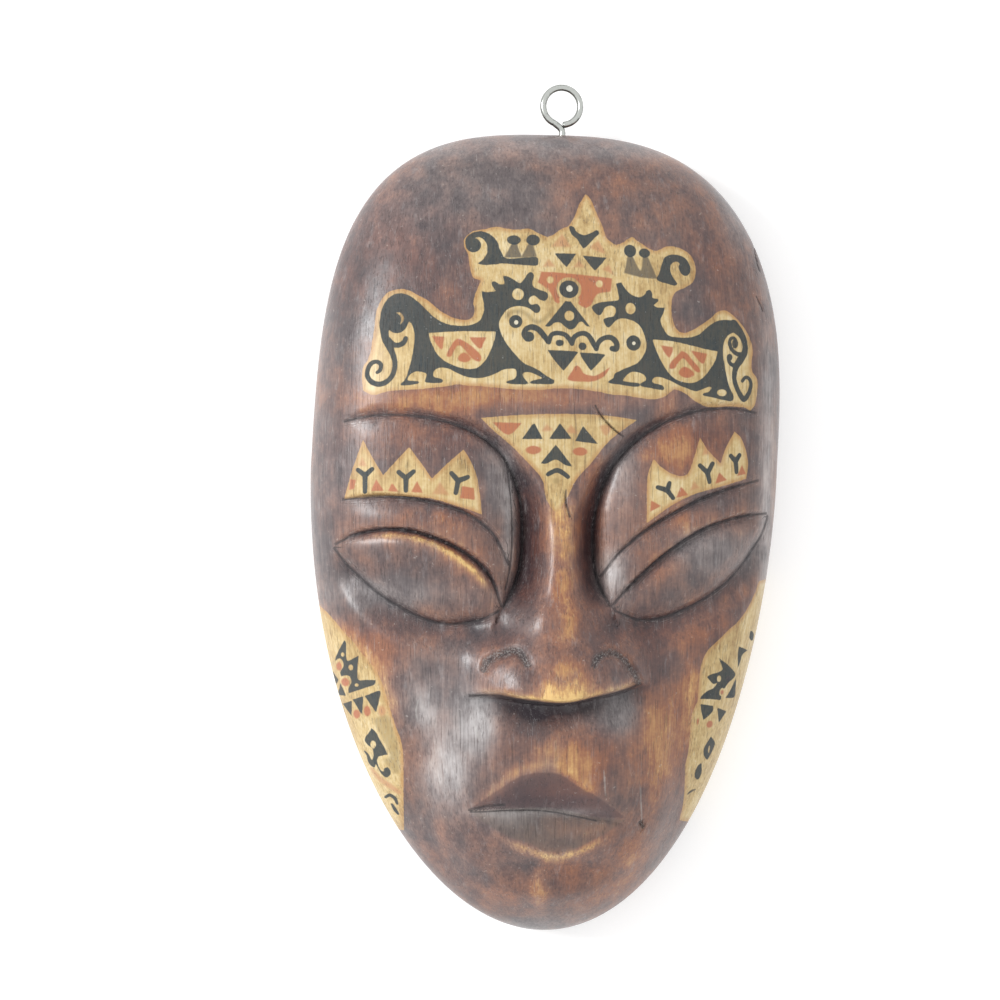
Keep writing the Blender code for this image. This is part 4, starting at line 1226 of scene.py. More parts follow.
def dome_height(gauge):
    """Height of the uncarved block above the back rim."""
    falling = np.clip(1 - np.clip(gauge, 0, 1) ** DOME_ROUNDNESS[0], 0, 1)
    return WALL_HEIGHT + DOME_RISE * falling ** (1 / DOME_ROUNDNESS[1])


def groove_height(groove, places):
    """How far a groove lowers each place: most on its line, with a slope on each side."""
    distance, along, side = nearest_on(curve_through(groove.spots), places)
    on_left = side > 0
    left = eased(groove.left, along)
    right = eased(groove.right, along)
    width = np.where(on_left, left, right) * HALF_FACE / 100
    convex = np.where(on_left, groove.convex_left, groove.convex_right)
    rounding = np.minimum(GOUGE_ROUNDING, width / WIDER_THAN_ROUNDING)
    share = np.clip((np.hypot(distance, rounding) - rounding) / (width - rounding / 2), 0, 1)
    round_rise = np.sqrt(1 - (1 - share) ** 2)
    rise = convex * round_rise + (1 - convex) * smooth_step(share)
    return groove.depth * eased(groove.depths, along) / 100 * (rise - 1)


def swell_height(swell, places):
    """A soft rise over an ellipse."""
    away = (places - spot_place(swell.centre)) / spot_place(swell.radii)
    steepness, power = SWELL_FALLOFF
    return swell.height * np.exp(-steepness * np.hypot(*away.T) ** power)


def nose_height(places):
    """The nose: a ridge that widens and rises down to its cut-off base, with a nostril on each side."""
    x, y = places.T / spot_place((1, 1))[:, None]
    down = (NOSE_TOP - y) / (NOSE_TOP - NOSE_BOTTOM)
    ridge = eased(NOSE_HEIGHTS, down) * NOSE_HEIGHT
    share = np.abs(x - NOSE_MIDDLE) / eased(NOSE_HALF_WIDTHS, down)
    steepness, power = RIDGE_FALLOFF
    height = ridge * np.exp(-steepness * share**power)
    for centre in NOSTRIL_CENTRES:
        height = height + swell_height(Swell(centre, NOSTRIL_RADII, NOSTRIL_HEIGHT), places)
    distance, along, side = nearest_on(curve_through(NOSE_BASE), places)
    kept = smooth_step(0.5 + side * distance / BASE_CUT_WIDTH)
    undercut = NOSE_UNDERCUT * eased(NOSE_BASE_UNDERCUTS, along) / 100
    below = undercut * smooth_step(1 - distance / (UNDERCUT_REACH * NOSE_UNDERCUT)) * (1 - kept)
    return height * kept - below


def lip_height(places):
    """Both lips slope in from their outlines to the line of the mouth."""
    to_mouth, to_top, to_bottom = (
        nearest_on(curve_through(spots), places) for spots in (MOUTH, LIP_TOP, LIP_BOTTOM)
    )
    on_lips = (to_top[2] < 0) & (to_bottom[2] > 0)
    to_edge = np.where(to_mouth[2] > 0, to_top[0], to_bottom[0])
    span = to_mouth[0] + to_edge
    share = to_edge / np.maximum(span, TINY)
    fall = smooth_step(span / (LIP_REACH * LIP_DEPTH)) * share**LIP_BULGE
    return np.where(on_lips, -LIP_DEPTH * fall, 0)


def carving_height(places):
    """Everything carved out of the dome or left standing on it."""
    height = np.min([groove_height(groove, places) for groove in BROWS + LOWER_LIDS], axis=0)
    for fold in FOLDS + LID_CRESTS:
        height = height + groove_height(fold, places)
    for swell in SWELLS:
        height = height + swell_height(swell, places)
    return height + nose_height(places) + lip_height(places)


def carving_fade(gauge):
    """How strongly the carving shows: it fades out towards the outline."""
    return smooth_step((1 - gauge) / CARVING_FADE)


def face_height(places):
    """Height of the finished face above the back rim."""
    gauge = outline_gauge(*places.T)
    return dome_height(gauge) + carving_height(places) * carving_fade(gauge)


def photo_axes():
    """The camera's right, up and backward directions."""
    across = np.array((math.cos(CAMERA_TILT), 0, math.sin(CAMERA_TILT)))
    backward = np.array((-math.sin(CAMERA_TILT), 0, math.cos(CAMERA_TILT)))
    return across, np.array((0, 1, 0)), backward


def camera_place():
    """Where the camera stands, from the wood's middle."""
    x, y = WOOD_PIXEL
    target = np.array(((PHOTO_MIDDLE - x) * PIXEL, (y - PHOTO_MIDDLE) * PIXEL, TARGET_HEIGHT))
    return target + CAMERA_DISTANCE * photo_axes()[2]


def wood_places(pixels):
    """Where the photograph's pixels lie on the carved wood, from its middle."""
    across, up, backward = photo_axes()
    offsets = (np.array(pixels, float) - PHOTO_MIDDLE) * PIXEL
    rays = np.outer(offsets[:, 0], across) - np.outer(offsets[:, 1], up) - CAMERA_DISTANCE * backward
    start = camera_place()
    heights = np.full(len(rays), WALL_HEIGHT + DOME_RISE)
    for _ in range(RAY_STEPS):
        places = start + rays * ((heights - start[2]) / rays[:, 2])[:, None]
        surface = face_height(places[:, :2])
        beyond = outline_gauge(*places[:, :2].T) > 1
        heights = (heights + np.where(beyond, WALL_HEIGHT * BEYOND_SHARE, surface)) / 2
    return places[:, :2]


def laid_on_wood(outlines):
    """The same outlines, from pixels of the photograph to places on the wood, all found in one go."""
    places = wood_places([spot for spots in outlines for spot in spots])
    return np.split(places, np.cumsum([len(spots) for spots in outlines])[:-1])


def area_distance(_, knots, places):
    """Signed distance from a painted area's edge, below zero inside."""
    path = smooth_path(knots, closed=True)
    distance = np.full(len(places), PAINT_REACH)
    near, reach, _, _ = nearby(path, places)
    distance[near] = np.where(inside(path, places[near]), -reach, reach)
    return distance


def stroke_distance(stroke, knots, places):
    """Signed distance from a brush stroke's edge."""
    runs = np.hypot(*np.diff(knots, axis=0).T)
    shares = np.concatenate(([0], np.cumsum(runs))) / runs.sum()
    distance = np.full(len(places), PAINT_REACH)
    near, reach, along, _ = nearby(smooth_path(knots), places, 2 * PAINT_REACH)
    distance[near] = reach - np.interp(along, shares, stroke.half_widths) * PIXEL
    return distance


def dot_distance(dot, knots, places):
    """Signed distance from the edge of a dot, roughly, where it is an ellipse."""
    radii = np.array(dot.radii) * PIXEL
    return (np.hypot(*((places - knots[0]) / radii).T) - 1) * radii.min()


def laid_motifs():
    """Every motif of the ornament with its spots' places on the wood."""
    motifs = [*AREAS.values(), *STROKES.values(), *SCRATCHES, *DOTS.values()]
    motifs += [Area(kind, [spot for spot in spots for _ in range(2)]) for kind, *spots in DABS]
    for junction, left, right, foot in FORKS:
        motifs.append(Stroke("black", (left, junction, junction, right), FORK_HALF_WIDTHS))
        motifs.append(Stroke("black", (junction, foot), FORK_HALF_WIDTHS[1::2]))
    return list(zip(motifs, laid_on_wood([motif[1] for motif in motifs])))


def paint_distances(motifs, places):
    """Signed distance from the edge of each kind of paint, and from the nearest edge of any motif."""
    measures = {Area: area_distance, Stroke: stroke_distance, Dot: dot_distance}
    kinds = {kind: np.full(len(places), PAINT_REACH) for kind in ("bare", *PAINTS, *CUT_OUT)}
    nearest = np.full(len(places), PAINT_REACH)
    for motif, knots in motifs:
        distance = np.minimum(measures[type(motif)](motif, knots, places), PAINT_REACH)
        kinds[motif.kind] = np.minimum(kinds[motif.kind], distance)
        nearest = np.minimum(nearest, np.abs(distance))
    cleared = kinds.pop("cleared")
    kinds["red"] = np.maximum(kinds["red"], -cleared)
    black = np.max((kinds["black"], -kinds.pop("gap"), -cleared), axis=0)
    kinds["black"] = np.minimum(black, kinds.pop("over"))
    return kinds, nearest


def cut_paths():
    """Each crack or knife line with its path on the wood."""
    return [(cut, smooth_path(knots)) for cut, knots in zip(CUTS, laid_on_wood([cut.spots for cut in CUTS]))]


def deep_lines():
    """Paths under the steepest walls: the brows' grooves and the nose's base."""
    return [curve_through(spots) for spots in (BROWS[0].spots[3:], BROWS[1].spots[3:], NOSE_BASE[1:-1])]


def dark_lines():
    """Paths and half widths of the painted shade lines: the grooves, the nose's base, the mouth and the
    cuts.
    """
    lines = [(curve_through(groove.spots), CREASE_WIDTH) for groove in BROWS + LOWER_LIDS + FOLDS]
    lines += [(curve_through(NOSE_BASE[1:-1]), CREASE_WIDTH), (curve_through(MOUTH[:-1]), MOUTH_WIDTH)]
    return lines + [(path, cut.half_width) for cut, path in cut_paths()]


def line_distances(places):
    """Around the nearest dark line: metres from it, half widths to its left or right, metres along it, 0 at
    its ends and 1 between them, and its half width."""
    distance = np.full(len(places), PAINT_REACH)
    found = np.zeros((4, len(places)))
    for path, half_width in dark_lines():
        near, away, along, side = nearby(path, places)
        end = smooth_step(LINE_END_RISE * np.minimum(along, 1 - along))
        nearer = away < distance[near]
        distance[near[nearer]] = away[nearer]
        width = np.full(len(near), half_width)
        values = np.array((side * away / half_width, along * path_length(path), end, width))
        found[:, near[nearer]] = values[:, nearer]
    return distance, *found


def wave_height(places):
    """Slow waves that the scraper left, from broad to fine."""
    height = np.zeros(len(places))
    for number, (length, rise) in enumerate(WAVES):
        for i, (x, y) in enumerate(places):
            height[i] += rise * noise.noise(Vector((x / length, y / length, WAVE_LAYER * number)))
    return height


def ripple_height(places):
    """Small ripples that the gouge left along the deep grooves."""
    height = np.zeros(len(places))
    drift, waves = RIPPLE_DRIFT
    for groove in BROWS + LOWER_LIDS:
        path = curve_through(groove.spots)
        near, reach, along, side = nearby(path, places, RIPPLE_REACH)
        turn = 2 * math.pi * along * path_length(path) / RIPPLE_PITCH
        turn = turn + drift * np.sin(along * waves) + side * RIPPLE_SIDE_SHIFT
        height[near] += RIPPLE_HEIGHT * np.sin(turn) * smooth_step(1 - reach / RIPPLE_REACH)
    return height


def surface_height(places):
    """Height of the carved face with its hand-work, cracks and knife lines."""
    hand_work = wave_height(places) + ripple_height(places)
    height = face_height(places) + hand_work * carving_fade(outline_gauge(*places.T))
    for cut, path in cut_paths():
        near, reach, along, _ = nearby(path, places)
        depth = cut.depth * np.sqrt(np.clip(4 * along * (1 - along), 0, 1))
        height[near] -= depth * smooth_step(CUT_SLOPE - reach / cut.half_width)
    return height


def outline_places(directions, gauges):
    """Places in these directions from the widest line's middle, at these shares of the way out."""
    steps = directions * (HALF_WIDTH, HALF_LENGTH)
    x, rise = (steps * (gauges / upright_gauge(*steps.T))[:, None]).T
    y = rise + WIDEST_SHARE * HALF_LENGTH
    return np.column_stack((x + sway_at(y), y))


def square_turns(u, v):
    """The angle at which each point of a square grid lies on its ring."""
    wide = np.abs(u) >= np.abs(v)
    longer = np.where(wide, u, v)
    share = np.where(wide, v, u) / np.where(longer == 0, 1, longer)
    sideways = math.pi / 4 * share + np.where(u < 0, math.pi, 0)
    upright = math.pi / 2 - math.pi / 4 * share + np.where(v < 0, math.pi, 0)
    return np.where(wide, sideways, upright)


def towards(turns):
    """Directions at these angles."""
    return np.column_stack((np.cos(turns), np.sin(turns)))


def grid_layout(verts, gauges, inner=1.0):
    """Places on the wood for a square grid's vertices, from -1 to 1, and how far out each lies."""
    u, v = np.array([vert.co for vert in verts])[:, :2].T
    shares = np.interp(np.maximum(np.abs(u), np.abs(v)), np.linspace(0, 1, len(gauges)), gauges)
    return outline_places(towards(square_turns(u, v)), shares * inner), shares


def face_gauges():
    """Gauges of even steps over the dome, closer together where it is steep."""
    gauge = np.linspace(0, 1, OUTLINE_SAMPLES)
    step_out = np.diff(gauge) * (HALF_WIDTH + HALF_LENGTH) / 2
    step_down = np.diff(dome_height(gauge))
    travelled = np.concatenate(([0], np.cumsum(np.hypot(step_out, step_down))))
    return np.interp(np.linspace(0, travelled[-1], OUTLINE_SAMPLES), travelled, gauge)


def square_grid(shape, cells):
    """A flat grid from -1 to 1 each way; returns its vertices."""
    return bmesh.ops.create_grid(shape, x_segments=cells[0], y_segments=cells[1], size=1)["verts"]


def refine_grid(shape, gauges, motifs):
    """Halve the cells near edges of paint and sharp lines, then once more at the edges of paint."""
    for level, paint_reach in enumerate(REFINED_NEAR_PAINT):
        places, _ = grid_layout(shape.verts, gauges)
        near = paint_distances(motifs, places)[1] < paint_reach
        for path in deep_lines():
            near |= nearest_on(path, places)[0] < REFINED_NEAR_WALLS
        if level == 0:
            near |= line_distances(places)[0] < REFINED_NEAR_LINES
            near |= lip_height(places) < 0
        shape.verts.index_update()
        edges = set()
        for face in shape.faces:
            if any(near[vert.index] for vert in face.verts):
                edges.update(face.edges)
        bmesh.ops.subdivide_edges(
            shape, edges=list(edges), cuts=1, use_grid_fill=True, use_single_edge=True
        )


def open_edges(edges):
    """Those of the edges with a face on one side only."""
    return [edge for edge in edges if edge.is_boundary]


def extruded(shape, edges):
    """Extrude the edges; returns the new edges and vertices."""
    made = bmesh.ops.extrude_edge_only(shape, edges=edges)["geom"]
    verts = [item for item in made if isinstance(item, bmesh.types.BMVert)]
    fresh = set(verts)
    edges = [item for item in made if isinstance(item, bmesh.types.BMEdge) and fresh.issuperset(item.verts)]
    return edges, verts


def wall_loops(shape, outer, drop):
    """Extrude the face's edge down the side wall, round the corner and a little in over the rim."""
    loops = [(fall, 0.0) for fall in WALL_FALLS]
    for turn in np.radians(RIM_TURNS):
        round_in = RIM_ROUNDING * (1 - math.cos(turn))
        loops.append((1 - RIM_ROUNDING / WALL_HEIGHT * (1 - math.sin(turn)), round_in))
    edges = open_edges(shape.edges)
    for fall, inward in loops:
        edges, verts = extruded(shape, edges)
        for vert in verts:
            start = vert[outer]
            place = start.xy * (1 - (BACK_TUCK * fall**2 + inward) / start.xy.length)
            vert.co = (*place, WALL_HEIGHT * (1 - fall))
            vert[drop] = WALL_HEIGHT * fall
    for vert in verts:
        vert[drop] = NOT_PAINTED
    return edges


def gouge_mark(x, y):
    """Depth of the wood left between the gouge's strokes, which run along the grain."""
    wander, waves, layer = ROW_WANDER
    row = x / GOUGE_WIDTH + wander * noise.noise(Vector((x, y * ROW_SLANT, layer)) * waves)
    wander, waves, layer = STROKE_WANDER
    stroke = y / GOUGE_LENGTH + ROW_STAGGER * math.floor(row) * math.floor(row)
    stroke = stroke + wander * noise.noise(Vector((x, y, layer)) * waves)
    across = (row - math.floor(row)) * 2 - 1
    along = (stroke - math.floor(stroke)) * 2 - 1
    return GOUGE_DEPTH * (GOUGE_SIDE_SHARE * across**2 + (1 - GOUGE_SIDE_SHARE) * along**4)


def place_hollow(verts, drop):
    """Lay a grid out as the hollow's dome, with long shallow marks of the gouge."""
    inner = 1 - RIM_WIDTH / HALF_WIDTH
    shares = np.sin(np.linspace(0, math.pi / 2, OUTLINE_SAMPLES))
    places, reach = grid_layout(verts, shares, inner)
    for vert, (x, y), share in zip(verts, places, reach):
        height = HOLLOW_DEPTH * math.sqrt(max(1 - share**HOLLOW_ROUNDNESS, 0))
        vert.co = (x, y, height - gouge_mark(x, y) * min(height / HOLLOW_DEPTH * GOUGE_START, 1))
        vert[drop] = NOT_PAINTED


def finished_mesh(shape, name):
    """A mesh of the finished shape."""
    mesh = bpy.data.meshes.new(name)
    shape.to_mesh(mesh)
    shape.free()
    return mesh


def mask_mesh(motifs):
    """The whole mask: carved face, side wall, flat rim and hollow back, with what its paint is found by."""
    shape = bmesh.new()
    gauges = face_gauges()
    square_grid(shape, FACE_GRID)
    refine_grid(shape, gauges, motifs)
    outer = shape.verts.layers.float_vector.new("outer_place")
    drop = shape.verts.layers.float.new("wall_drop")
    places, _ = grid_layout(shape.verts, gauges)
    for vert, (x, y), z in zip(shape.verts, places, surface_height(places)):
        vert.co = (x, y, z)
        vert[outer] = (x, y, 0)
    rim = wall_loops(shape, outer, drop)
    outer_edges = len(shape.edges)
    place_hollow(square_grid(shape, HOLLOW_GRID), drop)
    rim += open_edges(list(shape.edges)[outer_edges:])
    bmesh.ops.triangle_fill(shape, edges=rim, use_beauty=True, normal=(0, 0, -1))
    bmesh.ops.recalc_face_normals(shape, faces=shape.faces)
    return finished_mesh(shape, "mask_of_stained_wood")


def read_attribute(mesh, name, width=1):
    """Values of a float attribute, one row for each vertex."""
    attribute = mesh.attributes[name]
    values = np.empty(len(mesh.vertices) * width, np.float32)
    attribute.data.foreach_get("vector" if width == 3 else "value", values)
    return values.reshape(-1, width).astype(float)


def add_attribute(mesh, name, values):
    """A float attribute on the vertices."""
    attribute = mesh.attributes.new(name, "FLOAT", "POINT")
    attribute.data.foreach_set("value", np.array(values, np.float32))


def strip_wear(places):
    """How worn each place is, from the golden strips along the crests."""
    wear = np.zeros(len(places))
    rise, start = STRIP_END_RISE
    for strip, knots in zip(STRIPS, laid_on_wood([strip.spots for strip in STRIPS])):
        reach, along, _ = nearest_on(smooth_path(knots), places)
        ends = smooth_step(rise * np.minimum(along, 1 - along) + start)
        soft = np.exp(-((reach / (strip.half_width * PIXEL)) ** 2))
        wear = np.maximum(wear, strip.strength * soft * ends)
    return wear


def stain_patches(places):
    """Stain's lightness and warmth, and the sheen partly painted on it, from the soft patches."""
    found = np.zeros((3, len(places)))
    steepness, power = PATCH_FALLOFF
    for patch, centre in zip(PATCHES, wood_places([patch.centre for patch in PATCHES])):
        away = np.hypot(*((places - centre) / (np.array(patch.radii) * PIXEL)).T)
        found += np.outer((patch.tone, patch.warmth, patch.veil), np.exp(-steepness * away**power))
    return found


def blurred(raster, cells):
    """The raster averaged over a soft window, by two passes of running means each way."""
    weights = np.ones(2 * cells + 1) / (2 * cells + 1)
    for axis in (0, 1, 0, 1):
        padding = [(0, 0), (0, 0)]
        padding[axis] = (cells, cells)
        wider = np.pad(raster, padding, mode="edge")
        raster = np.apply_along_axis(np.convolve, axis, wider, weights, mode="valid")
    return raster


def cavity(places):
    """How much lower each place is than its surroundings, in millimetres, near and further around."""
    columns = np.arange(-HALF_WIDTH, HALF_WIDTH + CAVITY_CELL, CAVITY_CELL)
    rows = np.arange(-HALF_LENGTH, HALF_LENGTH + CAVITY_CELL, CAVITY_CELL)
    x, y = np.meshgrid(columns, rows)
    heights = face_height(np.column_stack((x.ravel(), y.ravel()))).reshape(x.shape)
    column = np.clip((places[:, 0] - columns[0]) / CAVITY_CELL, 0, len(columns) - LAST_CELL)
    row = np.clip((places[:, 1] - rows[0]) / CAVITY_CELL, 0, len(rows) - LAST_CELL)
    i, j = row.astype(int), column.astype(int)
    s, t = row - i, column - j
    found = []
    for cells in CAVITY_BLURS:
        lower = (blurred(heights, cells) - heights) / MILLIMETRE
        low = lower[i, j] * (1 - t) + lower[i, j + 1] * t
        high = lower[i + 1, j] * (1 - t) + lower[i + 1, j + 1] * t
        found.append(low * (1 - s) + high * s)
    return found


def add_finish(mesh, motifs):
    """Store paint, wear, tone, painted sheen and hollows, which take painted shade, on the vertices for the
    material to read.
    """
    outer = read_attribute(mesh, "outer_place", 3)[:, :2]
    drop = read_attribute(mesh, "wall_drop")[:, 0]
    for name in ("outer_place", "wall_drop"):
        mesh.attributes.remove(mesh.attributes[name])
    reach = np.maximum(np.hypot(*outer.T), MILLIMETRE)
    unfolded = outer * (1 + drop / reach)[:, None]
    shown = drop < NOT_PAINTED
    for kind, distance in paint_distances(motifs, unfolded)[0].items():
        add_attribute(mesh, kind, np.where(shown, distance, PAINT_REACH) / MILLIMETRE)
    stain = dict(zip(("tone", "warmth", "veil"), stain_patches(outer)))
    stain["worn"] = strip_wear(outer)
    for name, values in stain.items():
        add_attribute(mesh, name, np.where(shown, values, 0))
    away, across, along, end, width = line_distances(outer)
    add_attribute(mesh, "line_across", across)
    add_attribute(mesh, "line_along", along / MILLIMETRE)
    add_attribute(mesh, "line_width", width / MILLIMETRE)
    add_attribute(mesh, "line_near", np.where(drop == 0, end * smooth_step(1 - away / LINE_REACH), 0))
    fade = np.where(drop == 0, carving_fade(outline_gauge(*outer.T)), 0)
    for name, values in zip(("hollow_close", "hollow_wide"), cavity(outer)):
        add_attribute(mesh, name, values * fade)


def wood_middle():
    """Where the wood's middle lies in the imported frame, above the back rim."""
    low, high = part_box("carved_mask")
    directions = towards(np.linspace(0, 2 * math.pi, OUTLINE_SAMPLES))
    x = outline_places(directions, np.ones(OUTLINE_SAMPLES))[:, 0]
    return Vector(((low.x + high.x) / 2 - (x.min() + x.max()) / 2, (low.y + high.y) / 2, 0))


def new_piece(mesh, material, node):
    """A piece made around the wood's middle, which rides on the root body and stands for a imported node."""
    mesh.transform(Matrix.Translation(wood_middle()) @ Matrix.Scale(INSIDE_SHARE, 4))
    mesh.set_sharp_from_angle(angle=math.radians(SHARP_ANGLE))
    mesh.materials.append(material)
    mesh.shade_smooth()
    piece = bpy.data.objects.new(mesh.name, mesh)
    bpy.context.scene.collection.objects.link(piece)
    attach(piece, "root")
    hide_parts(node)


def stained_mask():
    """The carved wooden mask."""
    motifs = laid_motifs()
    mesh = mask_mesh(motifs)
    add_finish(mesh, motifs)
    new_piece(mesh, stained_wood(), "carved_mask")


def wood_top():
    """Y of the mask's top edge where the screw eye goes in, from the wood's middle."""
    heights = np.linspace(HALF_LENGTH * TOP_SEARCH_SHARE, HALF_LENGTH, OUTLINE_SAMPLES)
    gauge = outline_gauge(np.full_like(heights, EYE_OFFSET), heights)
    return float(np.interp(1, gauge, heights))


def screw_eye_path():
    """The wire's middle line from the shank's tip up to the neck, round the ring and back to the neck."""
    top = wood_top()
    centre = np.array((EYE_OFFSET, top + NECK_LENGTH + RING_MEAN_RADIUS))
    leaving = -math.pi / 2 - math.radians(NECK_BEND)
    closing = math.radians(RING_SHORTFALL)
    points = [(EYE_OFFSET, y) for y in np.linspace(top - SHANK_DEPTH, top + NECK_LENGTH / 2, NECK_POINTS)]
    for turn in np.linspace(leaving, -5 * math.pi / 2 + closing, RING_POINTS):
        points.append(centre + RING_MEAN_RADIUS * np.array((math.cos(turn), math.sin(turn))))
    return [Vector((x, y, EYE_HEIGHT)) for x, y in points]


def tube_stations(path):
    """Middle, direction and relative radius at each step along the wire, eased at both tips."""
    points = smooth_path(path, WIRE_STEPS)
    travelled = np.concatenate(([0], np.cumsum(np.linalg.norm(np.diff(points, axis=0), axis=1))))
    to_tip = np.minimum(travelled, travelled[-1] - travelled) / TIP_ROUNDING
    shares = 1 - TIP_NARROWING * np.clip(1 - to_tip, 0, 1) ** 2
    directions = np.gradient(points, axis=0)
    return [
        (Vector(point), Vector(run).normalized(), share)
        for point, run, share in zip(points, directions, shares)
    ]


def tube_mesh(name, path, radius):
    """A round tube along the path, closed at both ends."""
    shape = bmesh.new()
    stations = tube_stations(path)
    middle, direction, share = stations[0]
    aim = Vector((0, 0, 1)).rotation_difference(direction).to_matrix().to_4x4()
    bmesh.ops.create_circle(
        shape, cap_ends=True, segments=WIRE_SIDES, radius=radius * share,
        matrix=Matrix.Translation(middle) @ aim,
    )
    edges = list(shape.edges)
    for (middle, direction, share), (there, onwards, wider) in zip(stations, stations[1:]):
        edges, verts = extruded(shape, edges)
        turn = direction.rotation_difference(onwards).to_matrix()
        bmesh.ops.rotate(shape, cent=middle, matrix=turn, verts=verts)
        growth = wider / share
        bmesh.ops.scale(shape, vec=(growth,) * 3, space=Matrix.Translation(-middle), verts=verts)
        bmesh.ops.translate(shape, vec=there - middle, verts=verts)
    bmesh.ops.contextual_create(shape, geom=edges)
    bmesh.ops.recalc_face_normals(shape, faces=shape.faces)
    return finished_mesh(shape, name)


def steel_screw_eye():
    """The bent steel wire that the mask hangs by."""
    mesh = tube_mesh("screw_eye_of_steel", screw_eye_path(), WIRE_RADIUS)
    normals = np.empty(len(mesh.vertices) * 3, np.float32)
    mesh.vertices.foreach_get("normal", normals)
    # How far each vertex faces sideways: where the wire's flanks get a painted dark reflection.
    add_attribute(mesh, "flank", np.sqrt(np.clip(1 - normals[2::3] ** 2, 0, 1)))
    new_piece(mesh, plated_steel(), "hanging_screw_eye")


class Signal:
    """A shader value. Arithmetic on signals and numbers adds Math nodes."""

    def __init__(self, finish, socket):
        self.finish = finish
        self.socket = socket

    def math(self, operation, *values, clamp=False):
        settings = {"operation": operation, "use_clamp": clamp}
        return self.finish.node("ShaderNodeMath", settings, dict(enumerate(values)))

    def __add__(self, other):
        return self.math("ADD", self, other)

    def __sub__(self, other):
        return self.math("SUBTRACT", self, other)

    def __mul__(self, other):
        return self.math("MULTIPLY", self, other)

    __radd__ = __add__

    def clamped(self):
        return self.math("ADD", self, 0, clamp=True)

    def larger(self, other):
        return self.math("MAXIMUM", self, other)


class Finish:
    """A material in the making."""

    def __init__(self, name):
        self.material = bpy.data.materials.new(name)
        self.material.use_nodes = True
        self.tree = self.material.node_tree
        self.shader = self.tree.nodes["Principled BSDF"]
        self.place = self.node("ShaderNodeTexCoord", output="Object")

    def node(self, kind, settings=None, inputs=None, output=0):
        """Add a node: its settings first, then its sockets' values or links; gives one output."""
        node = self.tree.nodes.new(kind)
        settings = dict(settings or {})
        stops = settings.pop("stops", ())
        for name, value in settings.items():
            setattr(node, name, value)
        for number, (position, colour) in enumerate(stops):
            elements = node.color_ramp.elements
            stop = elements[number] if number < 2 else elements.new(position)
            stop.position = position
            stop.color = (*colour, 1)
        for name, value in (inputs or {}).items():
            self.set_input(node, name, value)
        return Signal(self, node.outputs[output])

    def set_input(self, node, name, value):
        """Link a signal to a node's socket, or set the socket's own value."""
        socket = node.inputs[name]
        if isinstance(value, Signal):
            self.tree.links.new(value.socket, socket)
        elif isinstance(value, tuple) and len(value) == 3 and socket.type == "RGBA":
            socket.default_value = (*value, 1)
        else:
            socket.default_value = value

    def set(self, **values):
        """Set or link the shader's sockets."""
        for name, value in values.items():
            self.set_input(self.shader, name.replace("_", " "), value)

    def attribute(self, name):
        """A measure kept on the mesh's vertices."""
        return self.node("ShaderNodeAttribute", {"attribute_name": name}, output="Fac")

    def noise_at(self, vector, detail, roughness=0.5, distortion=0.0):
        """Noise from 0 to 1 around a half."""
        inputs = {
            "Vector": vector, "Scale": 1.0, "Detail": detail, "Roughness": roughness,
            "Distortion": distortion,
        }
        return self.node("ShaderNodeTexNoise", {}, inputs)

    def noise(self, scale, *look):
        """Noise around zero, with so many waves a metre along each axis."""
        vector = self.node("ShaderNodeVectorMath", {"operation": "MULTIPLY"}, {0: self.place, 1: scale})
        return self.noise_at(vector, *look) - 0.5

    def lane_noise(self, turn, scale, start, *look):
        """Noise from 0 to 1 that is drawn out along a slant."""
        inputs = {
            "Vector": self.place, "Location": (start, 0, 0), "Rotation": (0, 0, turn), "Scale": scale,
        }
        return self.noise_at(self.node("ShaderNodeMapping", {}, inputs), *look)

    def mixed(self, share, first, second):
        """The first colour where the share is 0 and the second where it is 1."""
        return self.node("ShaderNodeMix", {"data_type": "RGBA"}, {0: share, 6: first, 7: second}, output=2)

    def ramp(self, value, stops):
        """A colour that runs through the stops."""
        return self.node("ShaderNodeValToRGB", {"stops": stops}, {"Fac": value}, output="Color")

    def between(self, value, low, high):
        """0 at the low value and beyond it, 1 at the other one, eased between them."""
        inputs = {"Value": value, "From Min": low, "From Max": high}
        return self.node("ShaderNodeMapRange", {"interpolation_type": "SMOOTHSTEP"}, inputs)

    def rise(self, value, name):
        """The value's rise from 0 to 1 between the named limits."""
        return self.between(value, *RISES[name])

    def set_relief(self, height, strength, distance):
        """Fine relief of the surface."""
        inputs = {"Height": height, "Strength": strength, "Distance": distance}
        self.set(Normal=self.node("ShaderNodeBump", {}, inputs, output="Normal"))


def weighed(marks, shares):
    """Marks added up, each with its share."""
    return sum(marks[name] * share for name, share in shares.items())


def add_line_marks(finish, marks):
    """Add each carved line's crease of painted shade, flecks in it, partly painted glints, and scratches
    beside it.
    """
    across = finish.attribute("line_across")
    near = finish.attribute("line_near")
    along_scale, across_scale = LINE_SCALE
    inputs = {0: finish.attribute("line_along") * along_scale, 1: across * across_scale}
    scratch = finish.noise_at(finish.node("ShaderNodeCombineXYZ", {}, inputs), *LINE_NOISE)
    away = across.larger(across * -1) + (scratch - 0.5) * LINE_WOBBLE
    # The crease is painted shade at the bottom of each carved line.
    crease = finish.rise(away, "crease") * finish.rise(near, "crease_near")
    wide = finish.rise(finish.attribute("line_width"), "fleck_width")
    marks["uneven"] = finish.rise(scratch, "crease_uneven")
    marks["crease"] = crease * weighed(marks, CREASE_UNEVEN)
    # Light flecks in the wider grooves: partly pale residue in the tool marks, partly painted glints on
    # them.
    marks["fleck"] = finish.rise(marks["flecks"], "fleck") * wide * crease
    marks["dark"] = finish.rise(scratch, "dark") * near
    marks["light"] = finish.rise(scratch, "light") * near


